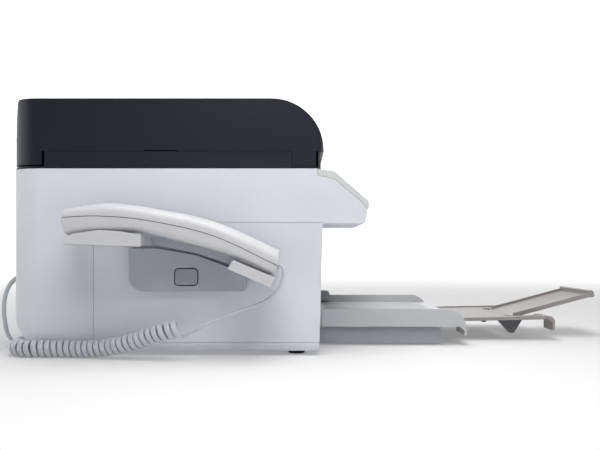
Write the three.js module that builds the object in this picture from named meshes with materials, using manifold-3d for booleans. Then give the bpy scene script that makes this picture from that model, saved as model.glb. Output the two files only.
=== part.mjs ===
// A desktop fax machine: a body with a flatbed scanner and a document feeder on top, a paper
// cassette with an output tray in front, and a handset on a cradle on its left side.
// Millimetres, +Z up. The front faces -Y and the handset side -X. Most shapes are drawn as the
// machine is seen from its left side, as [u, z], where u is the distance in front of the rear wall.
import * as THREE from "three";
import { mergeVertices } from "three/addons/utils/BufferGeometryUtils.js";
import Module from "manifold-3d";

const wasm = await Module();
wasm.setup();

// ---- driving dimensions -------------------------------------------------------------------
const GAP = 0.3; // between fixed neighbours
const PLAY = 0.5; // between pieces that slide or swing past each other

const BODY_WIDTH = 400;
const BODY_DEPTH = 302; // to the foot of the front wall
const FOOT_HEIGHT = 4;
const FOOT_RADIUS = 9;
const BODY_HEIGHT = 177.3;
const WALL = 3.5;
const REAR_RADIUS = 50; // of the rear lower edge
const CORNER_RADIUS = 28; // of the rear upright corners
const FRONT_CORNER = 6;
const LOWER_EDGE = 9; // radius of the lower side edges
const FRONT_LEAN = 3.7; // the front wall's top stands this far forward of its foot

const PANEL_SLOPE = THREE.MathUtils.degToRad(41.2);
const PANEL_LENGTH = 44.4; // down the slope
const PANEL_THICKNESS = 4.9;
const DEEP_NOSE_WIDTH = 150; // of the deeper left part of the overhang

const SCANNER_HEIGHT = 16.2;
const GLASS_SIZE = [302, 220];
const GLASS_THICKNESS = 1.9;
const LID_HEIGHT = 51.1;
const LID_FRONT_RADIUS = 51.7;
const HINGE_RADIUS = 2.4;
const PIN_RADIUS = 1.1;

const CASSETTE_WIDTH = 238;
const CASSETTE_REACH = 132.9; // in front of the body
const CASSETTE_BOTTOM = 2;
const CASSETTE_HEIGHT = 18;
const TRAY_WIDTH = 250;
const TRAY_REACH = 160.2;
const TRAY_HEIGHT = 18.9;
const TRAY_WALL = 2.5;
const TRAY_BEND = 22; // radius where the side walls curve down
const TRAY_FLOOR_THICKNESS = 1.6;
const BAY_TOP = 75;
const EXTENSION_WIDTH = 164;
const EXTENSION_REACH = 109.3; // in front of the output cover
const FLAP_WIDTH = 98;
const FLAP_LENGTH = 105;
const FLAP_RISE = THREE.MathUtils.degToRad(15);

const HANDSET_WIDTH = 46;
const CRADLE_DEPTH = 8; // how far the plinth stands out of the side
const BUTTON_SIZE = [21.3, 15.4];
const CORD_DIAMETER = 5;
const COIL_DIAMETER = 16.5;

const KEY_SIZE = [10, 5.6];
const KEY_PITCH = [13, 8.2];
const KEY_STAND = 1.4; // above the panel
const KEY_DEPTH = 2.8; // below its surface

// ---- places worked out from them ----------------------------------------------------------
const LEFT = -BODY_WIDTH / 2;
const RIGHT = BODY_WIDTH / 2;
const FRONT = BODY_DEPTH;
const BOTTOM = FOOT_HEIGHT;
const TOP = BOTTOM + BODY_HEIGHT;
const SCANNER_BOTTOM = TOP + GAP;
const SCANNER_TOP = SCANNER_BOTTOM + SCANNER_HEIGHT;
const LID_BOTTOM = SCANNER_TOP + GAP;
const LID_TOP = LID_BOTTOM + LID_HEIGHT;
const TRAY_BOTTOM = CASSETTE_BOTTOM + CASSETTE_HEIGHT + 0.4;
const TRAY_TOP = TRAY_BOTTOM + TRAY_HEIGHT;
const TRAY_FRONT = FRONT + TRAY_REACH;
const TRAY_FLOOR = TRAY_BOTTOM + 9; // the floor's top; the extension slides in under it
const HINGE_U = -3; // both rear hinge lines, behind the rear wall

// ---- colours ------------------------------------------------------------------------------
const plastic = (color, roughness = 0.5) =>
  new THREE.MeshStandardMaterial({ color, roughness, metalness: 0 });
const SHELL = plastic(0xd3d6db);
const PANEL = plastic(0xcdd1d2, 0.45);
const BLACK = plastic(0x2b2f38, 0.35);
const TRAY = plastic(0xb3b4b6);
const TRAY_DARK = plastic(0xa4a5a8);
const HANDSET = plastic(0xdcdcda, 0.4);
const SHADED = plastic(0x8c9097);
const BUTTON = plastic(0x7b8086);
const CORD = plastic(0xc2c5c8);
const RUBBER = plastic(0x2a2a2c, 0.9);
const PAD = plastic(0xf2f2f0, 0.8);
const DARK = plastic(0x303236, 0.6);
const CLEAR = plastic(0xd8dde0, 0.15);
const GLASS = plastic(0x9fb4b4, 0.05);
const STEEL = new THREE.MeshStandardMaterial({ color: 0xb8babd, roughness: 0.3, metalness: 1 });

// ---- making solids ------------------------------------------------------------------------
// A closed geometry as a solid that can be joined and cut.
function solid(geometry) {
  const bare = geometry.clone();
  for (const name of Object.keys(bare.attributes)) {
    if (name !== "position") bare.deleteAttribute(name);
  }
  const merged = mergeVertices(bare, 1e-4);
  return new wasm.Manifold(
    new wasm.Mesh({
      numProp: 3,
      vertProperties: merged.attributes.position.array,
      triVerts: new Uint32Array(merged.index.array),
    }),
  );
}

const join = (first, ...others) => others.reduce((all, one) => all.add(one), first);
const cut = (first, ...tools) => tools.reduce((left, tool) => left.subtract(tool), first);

// A solid's surface as a geometry.
function geometryOf(made) {
  const mesh = made.getMesh();
  return new THREE.BufferGeometry()
    .setAttribute("position", new THREE.BufferAttribute(mesh.vertProperties, 3))
    .setIndex(new THREE.BufferAttribute(mesh.triVerts, 1));
}

// A closed outline through corners [a, b, radius], each rounded by an arc of its radius.
function outline(corners) {
  const shape = new THREE.Shape();
  corners.forEach(([a, b, radius = 0], i) => {
    const corner = new THREE.Vector2(a, b);
    const back = new THREE.Vector2(...corners.at(i - 1)).sub(corner).normalize();
    const ahead = new THREE.Vector2(...corners[(i + 1) % corners.length]).sub(corner).normalize();
    const half = Math.acos(THREE.MathUtils.clamp(back.dot(ahead), -1, 1)) / 2;
    const reach = radius / Math.tan(half);
    const start = back.clone().multiplyScalar(reach).add(corner);
    const end = ahead.clone().multiplyScalar(reach).add(corner);
    if (i === 0) shape.moveTo(start.x, start.y);
    else shape.lineTo(start.x, start.y);
    if (radius > 0) {
      const handle = reach - (4 / 3) * Math.tan((Math.PI - 2 * half) / 4) * radius;
      const first = back.multiplyScalar(handle).add(corner);
      const second = ahead.multiplyScalar(handle).add(corner);
      shape.bezierCurveTo(first.x, first.y, second.x, second.y, end.x, end.y);
    }
  });
  return shape;
}

const extruded = (corners, depth, curveSegments) =>
  new THREE.ExtrudeGeometry(outline(corners), { depth, bevelEnabled: false, curveSegments });

// A side view outline [u, z, radius] carried from x0 to x1.
function sideways(corners, x0, x1, curveSegments = 8) {
  const turn = new THREE.Matrix4().makeBasis(
    new THREE.Vector3(0, -1, 0),
    new THREE.Vector3(0, 0, 1),
    new THREE.Vector3(-1, 0, 0),
  );
  return solid(extruded(corners, x1 - x0, curveSegments).applyMatrix4(turn).translate(x1, 0, 0));
}

// A plan outline [x, u, radius] carried from z0 to z1.
function upwards(corners, z0, z1, curveSegments = 8) {
  const plan = corners.map(([x, u, radius]) => [x, -u, radius]);
  return solid(extruded(plan, z1 - z0, curveSegments).translate(0, 0, z0));
}

// A front view outline [x, z, radius] carried from u0 to u1.
function forwards(corners, u0, u1, curveSegments = 8) {
  const geometry = extruded(corners, u1 - u0, curveSegments).rotateX(Math.PI / 2);
  return solid(geometry.translate(0, -u0, 0));
}

function block(x0, x1, u0, u1, z0, z1) {
  const geometry = new THREE.BoxGeometry(x1 - x0, u1 - u0, z1 - z0);
  return solid(geometry.translate((x0 + x1) / 2, -(u0 + u1) / 2, (z0 + z1) / 2));
}

// A round bar along X.
function bar(radius, x0, x1, u, z, sides = 16) {
  const geometry = new THREE.CylinderGeometry(radius, radius, x1 - x0, sides).rotateZ(Math.PI / 2);
  return solid(geometry.translate((x0 + x1) / 2, -u, z));
}

// A round bar along the depth of the machine.
function barInDepth(radius, x, u0, u1, z, sides = 16) {
  const geometry = new THREE.CylinderGeometry(radius, radius, u1 - u0, sides);
  return solid(geometry.translate(x, -(u0 + u1) / 2, z));
}

const machine = new THREE.Group();

// Adds one named piece to the machine, or to a group that is part of it.
function piece(name, material, made, parent = machine) {
  const mesh = new THREE.Mesh(made.isBufferGeometry ? made : geometryOf(made), material);
  mesh.name = name;
  parent.add(mesh);
  return mesh;
}

// ---- the control panel's slope ------------------------------------------------------------
const SLOPE_TOP = [FRONT + 15, TOP - 2.6];

// The side view point this far down the slope and this far out of its surface.
function onSlope(down, out) {
  const c = Math.cos(PANEL_SLOPE);
  const s = Math.sin(PANEL_SLOPE);
  return [SLOPE_TOP[0] + down * c + out * s, SLOPE_TOP[1] - down * s + out * c];
}

const NOSE = FRONT + 46.9;

// The line between the panel and the body under it, lowered by a gap, from front to rear.
function panelSeam(gap) {
  return [
    [NOSE, TOP - 39.2 - gap],
    onSlope(38, -PANEL_THICKNESS - gap),
    onSlope(6, -PANEL_THICKNESS - 0.6 - gap),
    [FRONT + 6, TOP - 7.6 - gap],
    [FRONT + 1, TOP - 7 - gap],
    [FRONT - 1.2 - gap, TOP - 5.2 - gap],
  ];
}

// ---- the body -----------------------------------------------------------------------------
const UNDERSIDE = TOP - 44.3;
const DEEP_UNDERSIDE = TOP - 53;
const SIDE_COVER = { rear: 83.9, bottom: BOTTOM + LOWER_EDGE, top: TOP - 52.4, thickness: 1.2 };
const REAR_OPENING = { x0: -70, x1: 130, z0: BOTTOM + 62, z1: TOP - 31 };
const JACKS = { x0: -168, x1: -92, z0: BOTTOM + 58, z1: BOTTOM + 84, depth: 12 };
const INLET = { x0: 150, x1: 176, z0: BOTTOM + 62, z1: BOTTOM + 80, depth: 18 };

// The plan of the machine, drawn in by an inset, with its front edge at the given place.
function planCorners(inset, front, rear = 0) {
  return [
    [LEFT + inset, rear + inset, CORNER_RADIUS - inset],
    [RIGHT - inset, rear + inset, CORNER_RADIUS - inset],
    [RIGHT - inset, front - inset, FRONT_CORNER],
    [LEFT + inset, front - inset, FRONT_CORNER],
  ];
}

function bodyProfile(underside) {
  return [
    [0, BOTTOM, REAR_RADIUS],
    [FRONT, BOTTOM, 4],
    [FRONT + FRONT_LEAN, underside],
    [NOSE - 2.2, underside, 1.2],
    ...panelSeam(GAP),
    [FRONT - 1.2 - GAP, TOP],
    [0, TOP],
  ];
}

function sideCoverProfile(grow) {
  const lean = FRONT_LEAN / (DEEP_UNDERSIDE - BOTTOM);
  const { rear, bottom, top } = SIDE_COVER;
  return [
    [rear - grow, bottom - grow],
    [FRONT + (bottom - BOTTOM) * lean + grow, bottom - grow],
    [FRONT + (top - BOTTOM) * lean + grow, top + grow],
    [rear - grow, top + grow],
  ];
}

// The knuckles of one leaf of a rear hinge, for both sides of the machine, with a bore for the pin.
function knuckles(spans, z, leafBottom, leafTop, leafFront) {
  const made = spans.flatMap(([x0, x1]) =>
    [[x0, x1], [-x1, -x0]].map(([a, b]) =>
      join(bar(HINGE_RADIUS, a, b, HINGE_U, z), block(a, b, HINGE_U, leafFront, leafBottom, leafTop)),
    ),
  );
  return cut(join(...made), bar(PIN_RADIUS + GAP, LEFT, RIGHT, HINGE_U, z, 12));
}

const SCANNER_HINGE_Z = TOP + GAP / 2;
const LID_HINGE_Z = LID_BOTTOM - GAP / 2;
const SCANNER_KNUCKLES = [60, 68, 84, 92]; // the body holds the outer spans, the scanner the middle
const LID_KNUCKLES = [108, 117, 133, 142];

function outerSpans([a, b, c, d]) {
  return [[a, b - GAP], [c + GAP, d]];
}

function baseHousing() {
  const deep = sideways(bodyProfile(DEEP_UNDERSIDE), LEFT, LEFT + DEEP_NOSE_WIDTH);
  const shallow = sideways(bodyProfile(UNDERSIDE), LEFT + DEEP_NOSE_WIDTH, RIGHT);
  const section = forwards(
    [[LEFT, BOTTOM, LOWER_EDGE], [RIGHT, BOTTOM, LOWER_EDGE], [RIGHT, TOP], [LEFT, TOP]],
    -1,
    NOSE + 1,
  );
  const plan = upwards(planCorners(0, NOSE + FRONT_CORNER), 0, TOP + 1);
  const outer = join(deep, shallow).intersect(section).intersect(plan);
  const room = sideways(
    [
      [WALL, BOTTOM + WALL, REAR_RADIUS - WALL],
      [FRONT - WALL, BOTTOM + WALL],
      [FRONT - WALL, TOP + 1],
      [WALL, TOP + 1],
    ],
    LEFT + WALL,
    RIGHT - WALL,
  ).intersect(upwards(planCorners(WALL, FRONT), 0, TOP + 2));
  const noseRoom = sideways(
    [
      [FRONT - WALL - 1, UNDERSIDE + WALL],
      [NOSE - 8, UNDERSIDE + WALL],
      onSlope(34, -PANEL_THICKNESS - WALL),
      onSlope(8, -PANEL_THICKNESS - WALL - 1),
      [FRONT - WALL - 1, TOP - 13],
    ],
    LEFT + WALL,
    RIGHT - WALL,
  );
  const half = CASSETTE_WIDTH / 2 + 2.5;
  const shell = cut(
    outer,
    room,
    noseRoom,
    block(-half, half, 45, FRONT + FRONT_LEAN + 1, 0, BAY_TOP),
    block(REAR_OPENING.x0, REAR_OPENING.x1, -1, WALL + 1, REAR_OPENING.z0, REAR_OPENING.z1),
    block(JACKS.x0, JACKS.x1, -1, WALL + 1, JACKS.z0, JACKS.z1),
    block(INLET.x0, INLET.x1, -1, WALL + 1, INLET.z0, INLET.z1),
    sideways(sideCoverProfile(GAP), LEFT - 1, LEFT + SIDE_COVER.thickness + GAP),
  );
  const hinge = knuckles(outerSpans(SCANNER_KNUCKLES), SCANNER_HINGE_Z, TOP - 8, TOP, WALL / 2);
  return join(shell, hinge);
}

function leftSideCover() {
  return sideways(sideCoverProfile(0), LEFT, LEFT + SIDE_COVER.thickness);
}

function rearCover() {
  const { x0, x1, z0, z1 } = REAR_OPENING;
  const plate = block(x0 + PLAY, x1 - PLAY, 0, WALL, z0 + PLAY, z1 - PLAY);
  const middle = (x0 + x1) / 2;
  const grip = block(middle - 20, middle + 20, -1, 2, z1 - 14, z1 - 7);
  const ribs = [-60, 0, 60].map((offset) => {
    const x = middle + offset;
    return block(x - 1, x + 1, WALL - 1, WALL + 6, z0 + 8, z1 - 20);
  });
  return join(cut(plate, grip), ...ribs);
}

// A panel in the rear wall with square sockets [x, width, height] at one height.
function socketPanel({ x0, x1, z0, z1, depth }, sockets, socketDepth) {
  const middle = (z0 + z1) / 2;
  const holes = sockets.map(([x, width, height]) =>
    block(x - width / 2, x + width / 2, -1, socketDepth, middle - height / 2, middle + height / 2),
  );
  return cut(block(x0 + GAP, x1 - GAP, 0, depth, z0 + GAP, z1 - GAP), ...holes);
}

const PLUG = { width: 7.4, height: 6, out: 9, in: 8 };
const HANDSET_JACK_X = -130;
const LINE_JACKS = [-152, -108];

function addBody() {
  piece("base_housing", SHELL, baseHousing());
  piece("left_side_cover", SHELL, leftSideCover());
  piece("rear_cover", SHELL, rearCover());
  const handsetSocket = [HANDSET_JACK_X, PLUG.width + 2 * PLAY, PLUG.height + 2 * PLAY];
  const lineSockets = LINE_JACKS.map((x) => [x, 11.6, 8.4]);
  piece("jack_panel", DARK, socketPanel(JACKS, [handsetSocket, ...lineSockets], 10));
  piece("power_inlet", DARK, socketPanel(INLET, [[(INLET.x0 + INLET.x1) / 2, 17, 9.6]], 13));
  for (const [side, x] of [["left", LEFT + 25], ["right", RIGHT - 25]]) {
    for (const [end, u] of [["rear", 68], ["front", FRONT - 22]]) {
      const foot = new THREE.CylinderGeometry(FOOT_RADIUS, FOOT_RADIUS - 1, FOOT_HEIGHT - GAP, 24)
        .rotateX(Math.PI / 2)
        .translate(x, -u, (FOOT_HEIGHT - GAP) / 2);
      piece(`foot_${end}_${side}`, RUBBER, foot);
    }
  }
}

// ---- the control panel --------------------------------------------------------------------
const DISPLAY = { x: -38, down: 17, size: [66, 21] };
const DIAL_NAMES = ["1", "2", "3", "4", "5", "6", "7", "8", "9", "star", "0", "hash"];
const DIAL_X = 62;
const FIRST_ROW = 6; // down the slope
const FUNCTION_KEYS = [
  { name: "mode", x: -160, down: 11, size: [22, 8] },
  { name: "menu", x: -125, down: 11, size: [22, 8] },
  { name: "clear", x: -125, down: 26, size: [22, 8] },
  { name: "stop", x: 130, down: 17, size: [16, 16] },
  { name: "start", x: 160, down: 17, size: [20, 20] },
];

const dialKeys = DIAL_NAMES.map((name, i) => ({
  name,
  x: DIAL_X + ((i % 3) - 1) * KEY_PITCH[0],
  down: FIRST_ROW + Math.floor(i / 3) * KEY_PITCH[1],
  size: KEY_SIZE,
}));
const allKeys = [...dialKeys, ...FUNCTION_KEYS];

// A round-cornered block on the panel's face, in the slope's own frame.
function onFace({ x, down, size: [width, length] }, grow, low, high, radius = 1.5) {
  const [w, l] = [width / 2 + grow, length / 2 + grow];
  const corners = [
    [x - w, down - l, radius],
    [x + w, down - l, radius],
    [x + w, down + l, radius],
    [x - w, down + l, radius],
  ];
  return upwards(corners, low, high, 3);
}

// The group whose +Z leaves the panel's face and whose -Y runs down it.
const panelFace = new THREE.Group();
panelFace.position.set(0, -SLOPE_TOP[0], SLOPE_TOP[1]);
panelFace.rotation.x = PANEL_SLOPE;

function controlPanel() {
  const end = onSlope(PANEL_LENGTH, 0);
  const slab = sideways(
    [
      [FRONT - 1.2, TOP - 0.4],
      [...SLOPE_TOP, 10],
      [...end, 3],
      [end[0] - 0.3, TOP - 38.9],
      ...panelSeam(0),
    ],
    LEFT,
    RIGHT,
  );
  panelFace.updateMatrix();
  const toMachine = panelFace.matrix.elements;
  const holes = allKeys.map((key) => onFace(key, PLAY - 0.1, -12, 12).transform([...toMachine]));
  const window = onFace(DISPLAY, GAP, -2, 12).transform([...toMachine]);
  return cut(slab, window, ...holes);
}

function addPanel() {
  piece("control_panel", PANEL, controlPanel());
  machine.add(panelFace);
  piece("display_window", DARK, onFace(DISPLAY, 0, -1.6, 0.3), panelFace);
  for (const key of allKeys) {
    piece(`key_${key.name}`, PANEL, onFace(key, 0, -KEY_DEPTH, KEY_STAND), panelFace);
  }
}

// ---- the scanner --------------------------------------------------------------------------
const GLASS_X = [-GLASS_SIZE[0] / 2 + 6, GLASS_SIZE[0] / 2 + 6];
const GLASS_U = [32, 32 + GLASS_SIZE[1]];
const REAR_TAB = { depth: 33.5, drop: 13 }; // the lid's tabs hang in notches in the scanner's sides
const FRONT_TAB = { from: FRONT - 26, to: FRONT - 3, drop: 14.5 };
const TAB_THICKNESS = 3;

function scannerFrame() {
  const [x0, x1] = GLASS_X;
  const [u0, u1] = GLASS_U;
  const lip = 6;
  const glassBottom = SCANNER_TOP - GLASS_THICKNESS - 0.2 - GAP;
  const shell = cut(
    upwards(planCorners(0, FRONT + 1.8, 0.5), SCANNER_BOTTOM, SCANNER_TOP),
    block(LEFT + 36, RIGHT - 36, 16, FRONT - 12, SCANNER_BOTTOM + 3, glassBottom - 1.5),
    block(x0 + lip, x1 - lip, u0 + lip, u1 - lip, SCANNER_BOTTOM + 4, SCANNER_TOP + 1),
    block(x0, x1, u0, u1, glassBottom, SCANNER_TOP + 1),
  );
  const notches = [-1, 1].flatMap((side) => {
    const across = (inner) => (side < 0 ? [LEFT - 1, LEFT + inner] : [RIGHT - inner, RIGHT + 1]);
    const { from, to, drop } = FRONT_TAB;
    const rearFloor = LID_BOTTOM - REAR_TAB.drop - 1.6;
    const frontFloor = LID_BOTTOM - drop - PLAY;
    return [
      block(...across(CORNER_RADIUS + 3), -1, REAR_TAB.depth + 2.8, rearFloor, SCANNER_TOP + 1),
      block(...across(TAB_THICKNESS + PLAY), from - PLAY, to + 1.3, frontFloor, SCANNER_TOP + 1),
    ];
  });
  const [, b, c] = SCANNER_KNUCKLES;
  const hinge = join(
    knuckles([[b, c]], SCANNER_HINGE_Z, SCANNER_BOTTOM, SCANNER_BOTTOM + 8, 1),
    knuckles(outerSpans(LID_KNUCKLES), LID_HINGE_Z, SCANNER_TOP - 8, SCANNER_TOP, 1),
  );
  return join(cut(shell, ...notches), hinge);
}

function addScanner() {
  const [x0, x1] = GLASS_X;
  const [u0, u1] = GLASS_U;
  const glassTop = SCANNER_TOP - 0.2;
  const edge = 0.4;
  piece("scanner_frame", BLACK, scannerFrame());
  piece(
    "platen_glass",
    GLASS,
    block(x0 + edge, x1 - edge, u0 + edge, u1 - edge, glassTop - GLASS_THICKNESS, glassTop),
  );
  piece(
    "scan_carriage",
    DARK,
    block(x0 + 8, x0 + 22, u0 - 4, u1 + 4, SCANNER_BOTTOM + 3.5, glassTop - GLASS_THICKNESS - 2.6),
  );
  const reach = SCANNER_KNUCKLES[3];
  piece("scanner_hinge_pin", STEEL, bar(PIN_RADIUS, -reach, reach, HINGE_U, SCANNER_HINGE_Z, 12));
}

// ---- the lid with the document feeder ------------------------------------------------------
const PAD_ROOM = { x: BODY_WIDTH / 2 - 14, u0: 14, u1: FRONT - 14, height: 24 };
const FEEDER = { x0: -168, x1: -12, u0: 30, u1: 246, floor: LID_TOP - 24 };
const DOCUMENT_TRAY = { x0: -2, x1: 182, u0: 26, u1: 246, floor: LID_TOP - 10 };
const ADF_COVER_THICKNESS = 3;

function documentCover() {
  const rise = 5.4;
  const profile = [
    [1.3, LID_BOTTOM],
    [FRONT + 4.7, LID_BOTTOM],
    [FRONT + 4.7, LID_TOP, LID_FRONT_RADIUS - 0.8],
    [1.3 + rise, LID_TOP, 4],
  ];
  const plan = planCorners(0, FRONT + 4.7, 0.5);
  const shape = sideways(profile, LEFT, RIGHT, 14).intersect(upwards(plan, 0, LID_TOP + 1));
  const tabs = [-1, 1].map((side) => {
    const across = (inner) => (side < 0 ? [LEFT, LEFT + inner] : [RIGHT - inner, RIGHT]);
    const rearEnd = LID_BOTTOM - REAR_TAB.drop;
    const rear = block(...across(CORNER_RADIUS), 1.3, REAR_TAB.depth, rearEnd, LID_BOTTOM + 1);
    const ring = cut(rear, upwards(planCorners(TAB_THICKNESS, FRONT, 0.5), 0, LID_TOP));
    const { from, to, drop } = FRONT_TAB;
    return join(ring, block(...across(TAB_THICKNESS), from, to, LID_BOTTOM - drop, LID_BOTTOM + 1));
  });
  const withTabs = join(shape, ...tabs).intersect(upwards(plan, 0, LID_TOP + 1));
  const slots = [[LEFT - 1, LEFT + 4], [RIGHT - 4, RIGHT + 1]].map(([x0, x1]) =>
    block(x0, x1, 132.7, 165.5, LID_BOTTOM - 1, LID_BOTTOM + 1.2),
  );
  const { x, u0, u1, height } = PAD_ROOM;
  const seat = ADF_COVER_THICKNESS + GAP;
  const tray = DOCUMENT_TRAY;
  const hollow = cut(
    withTabs,
    ...slots,
    block(-x, x, u0, u1, LID_BOTTOM - 1, LID_BOTTOM + height - 1),
    block(FEEDER.x0, FEEDER.x1, FEEDER.u0, FEEDER.u1, LID_TOP - seat, LID_TOP + 1),
    block(FEEDER.x0 + 5, FEEDER.x1 - 5, FEEDER.u0 + 5, FEEDER.u1 - 5, FEEDER.floor, LID_TOP + 1),
    block(tray.x0, tray.x1, tray.u0, tray.u1, tray.floor, LID_TOP + 1),
  );
  const [, b, c] = LID_KNUCKLES;
  return join(hollow, knuckles([[b, c]], LID_HINGE_Z, LID_BOTTOM, LID_BOTTOM + 8, 3));
}

// A side fence of the document tray, on a foot that lies on the tray's floor.
function documentGuide(u, side) {
  const { x0, floor } = DOCUMENT_TRAY;
  const foot = block(x0 + 30, x0 + 90, ...(side > 0 ? [u, u + 16] : [u - 16, u]), floor + GAP, floor + 2);
  const fence = block(x0 + 30, x0 + 90, ...(side > 0 ? [u, u + 2] : [u - 2, u]), floor + GAP, LID_TOP - 1.2);
  return join(foot, fence);
}

function addLid() {
  piece("document_cover", BLACK, documentCover());
  const { x, u0, u1, height } = PAD_ROOM;
  const inner = cut(
    block(-x + PLAY, x - PLAY, u0 + PLAY, u1 - PLAY, LID_BOTTOM + GAP, LID_BOTTOM + 6),
    block(-x + 20, x - 20, u0 + 20, u1 - 20, LID_BOTTOM + 4, LID_BOTTOM + height),
  );
  piece("platen_pad", PAD, inner);
  const { x0, x1, floor } = FEEDER;
  piece(
    "adf_cover",
    BLACK,
    block(x0 + PLAY, x1 - PLAY, FEEDER.u0 + PLAY, FEEDER.u1 - PLAY, LID_TOP - ADF_COVER_THICKNESS, LID_TOP),
  );
  const rollerX = (x0 + x1) / 2;
  const shaft = barInDepth(3, rollerX, FEEDER.u0 + 6, FEEDER.u1 - 6, floor + 10);
  const tyre = barInDepth(8, rollerX, FEEDER.u0 + 60, FEEDER.u1 - 60, floor + 10, 24);
  piece("adf_roller", RUBBER, join(shaft, tyre));
  piece("document_guide_rear", BLACK, documentGuide(DOCUMENT_TRAY.u0 + 40, -1));
  piece("document_guide_front", BLACK, documentGuide(DOCUMENT_TRAY.u1 - 40, 1));
  const reach = LID_KNUCKLES[3];
  piece("lid_hinge_pin", STEEL, bar(PIN_RADIUS, -reach, reach, HINGE_U, LID_HINGE_Z, 12));
}

// ---- the print mechanism ------------------------------------------------------------------
const RAIL = { u: 190, z: 112, radius: 4 };

function printCarriage() {
  const { u, z, radius } = RAIL;
  const wings = block(-32, 32, u - 26, u + 34, z - 30, z + 12);
  const nozzles = block(-22, 22, u - 10, u + 24, z - 34, z - 28);
  const wells = [-23.4, -7.8, 7.8, 23.4].map((x) => block(x - 6.5, x + 6.5, u + 8, u + 30, z - 8, z + 13));
  return cut(join(wings, nozzles), bar(radius + GAP, -40, 40, u, z), ...wells);
}

function addMechanism() {
  const { u, z, radius } = RAIL;
  piece("carriage_rail", STEEL, bar(radius, LEFT + WALL + GAP, RIGHT - WALL - GAP, u, z));
  piece("print_carriage", DARK, printCarriage());
  const shaft = bar(4, LEFT + WALL + GAP, RIGHT - WALL - GAP, 74, 58);
  const tyres = [-70, 70].map((x) => bar(13, x - 16, x + 16, 74, 58, 24));
  piece("feed_roller", RUBBER, join(shaft, ...tyres));
}

// ---- the paper cassette and the trays -------------------------------------------------------
const CASSETTE_REAR = 48;

function paperCassette() {
  const half = CASSETTE_WIDTH / 2;
  const front = FRONT + CASSETTE_REACH;
  const top = CASSETTE_BOTTOM + CASSETTE_HEIGHT;
  const box = block(-half, half, CASSETTE_REAR, front, CASSETTE_BOTTOM, top);
  const room = block(
    -half + TRAY_WALL,
    half - TRAY_WALL,
    CASSETTE_REAR + TRAY_WALL,
    front - TRAY_WALL,
    CASSETTE_BOTTOM + TRAY_WALL,
    top + 1,
  );
  const grip = block(-40, 40, front - 12, front + 1, CASSETTE_BOTTOM - 1, CASSETTE_BOTTOM + 1);
  return cut(box, room, grip);
}

// A side fence of the cassette at x, standing on a foot that points away from the paper.
function paperGuide(x, side) {
  const floor = CASSETTE_BOTTOM + TRAY_WALL + GAP;
  const [a, b] = side < 0 ? [x - 9, x] : [x, x + 9];
  const [c, d] = side < 0 ? [x - 2.4, x] : [x, x + 2.4];
  return join(block(a, b, 150, 240, floor, floor + 2), block(c, d, 150, 240, floor, floor + 13));
}

const MOUTH_HALF = EXTENSION_WIDTH / 2 + 2;

// An open tray: two side walls that curve down to a lip in front, and a floor between them.
function outputCover() {
  const half = TRAY_WIDTH / 2;
  const rear = FRONT + 5;
  const lip = TRAY_BOTTOM - 9.2;
  const inner = TRAY_FRONT - TRAY_WALL;
  const outer = sideways(
    [
      [rear, TRAY_BOTTOM],
      [rear, TRAY_TOP, 2],
      [TRAY_FRONT, TRAY_TOP, TRAY_BEND],
      [TRAY_FRONT, lip],
      [inner, lip],
      [inner, TRAY_BOTTOM - 4],
      [inner - 5, TRAY_BOTTOM],
    ],
    -half,
    half,
    10,
  );
  const wallInside = half - TRAY_WALL;
  const ceiling = TRAY_FLOOR - TRAY_FLOOR_THICKNESS;
  const under = block(-wallInside, wallInside, rear + TRAY_WALL, inner, lip - 1, ceiling);
  const above = block(-wallInside, wallInside, rear - 1, TRAY_FRONT + 1, TRAY_FLOOR, TRAY_TOP + 1);
  const mouth = block(-MOUTH_HALF, MOUTH_HALF, TRAY_FRONT - 12, TRAY_FRONT + 1, lip - 1, ceiling);
  const stop = sideways(
    [
      [rear, TRAY_TOP - 1],
      [rear, TRAY_TOP + 6.5, 1],
      [rear + 18, TRAY_TOP + 6.5, 5],
      [rear + 18, TRAY_TOP - 1],
    ],
    wallInside - 6,
    half - 5,
  );
  const stopFoot = block(wallInside - 6, half - 1, rear, rear + 18, TRAY_TOP - 8, TRAY_TOP);
  return join(cut(outer, under, above, mouth), stop, stopFoot);
}

const FLAP_HINGE = [TRAY_FRONT + 65.8, TRAY_BOTTOM + 2.2];
const SLOT_HALF = FLAP_WIDTH / 2 + 1.2;
const EAR = 4; // width of the bosses that hold the flap's pins

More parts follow.
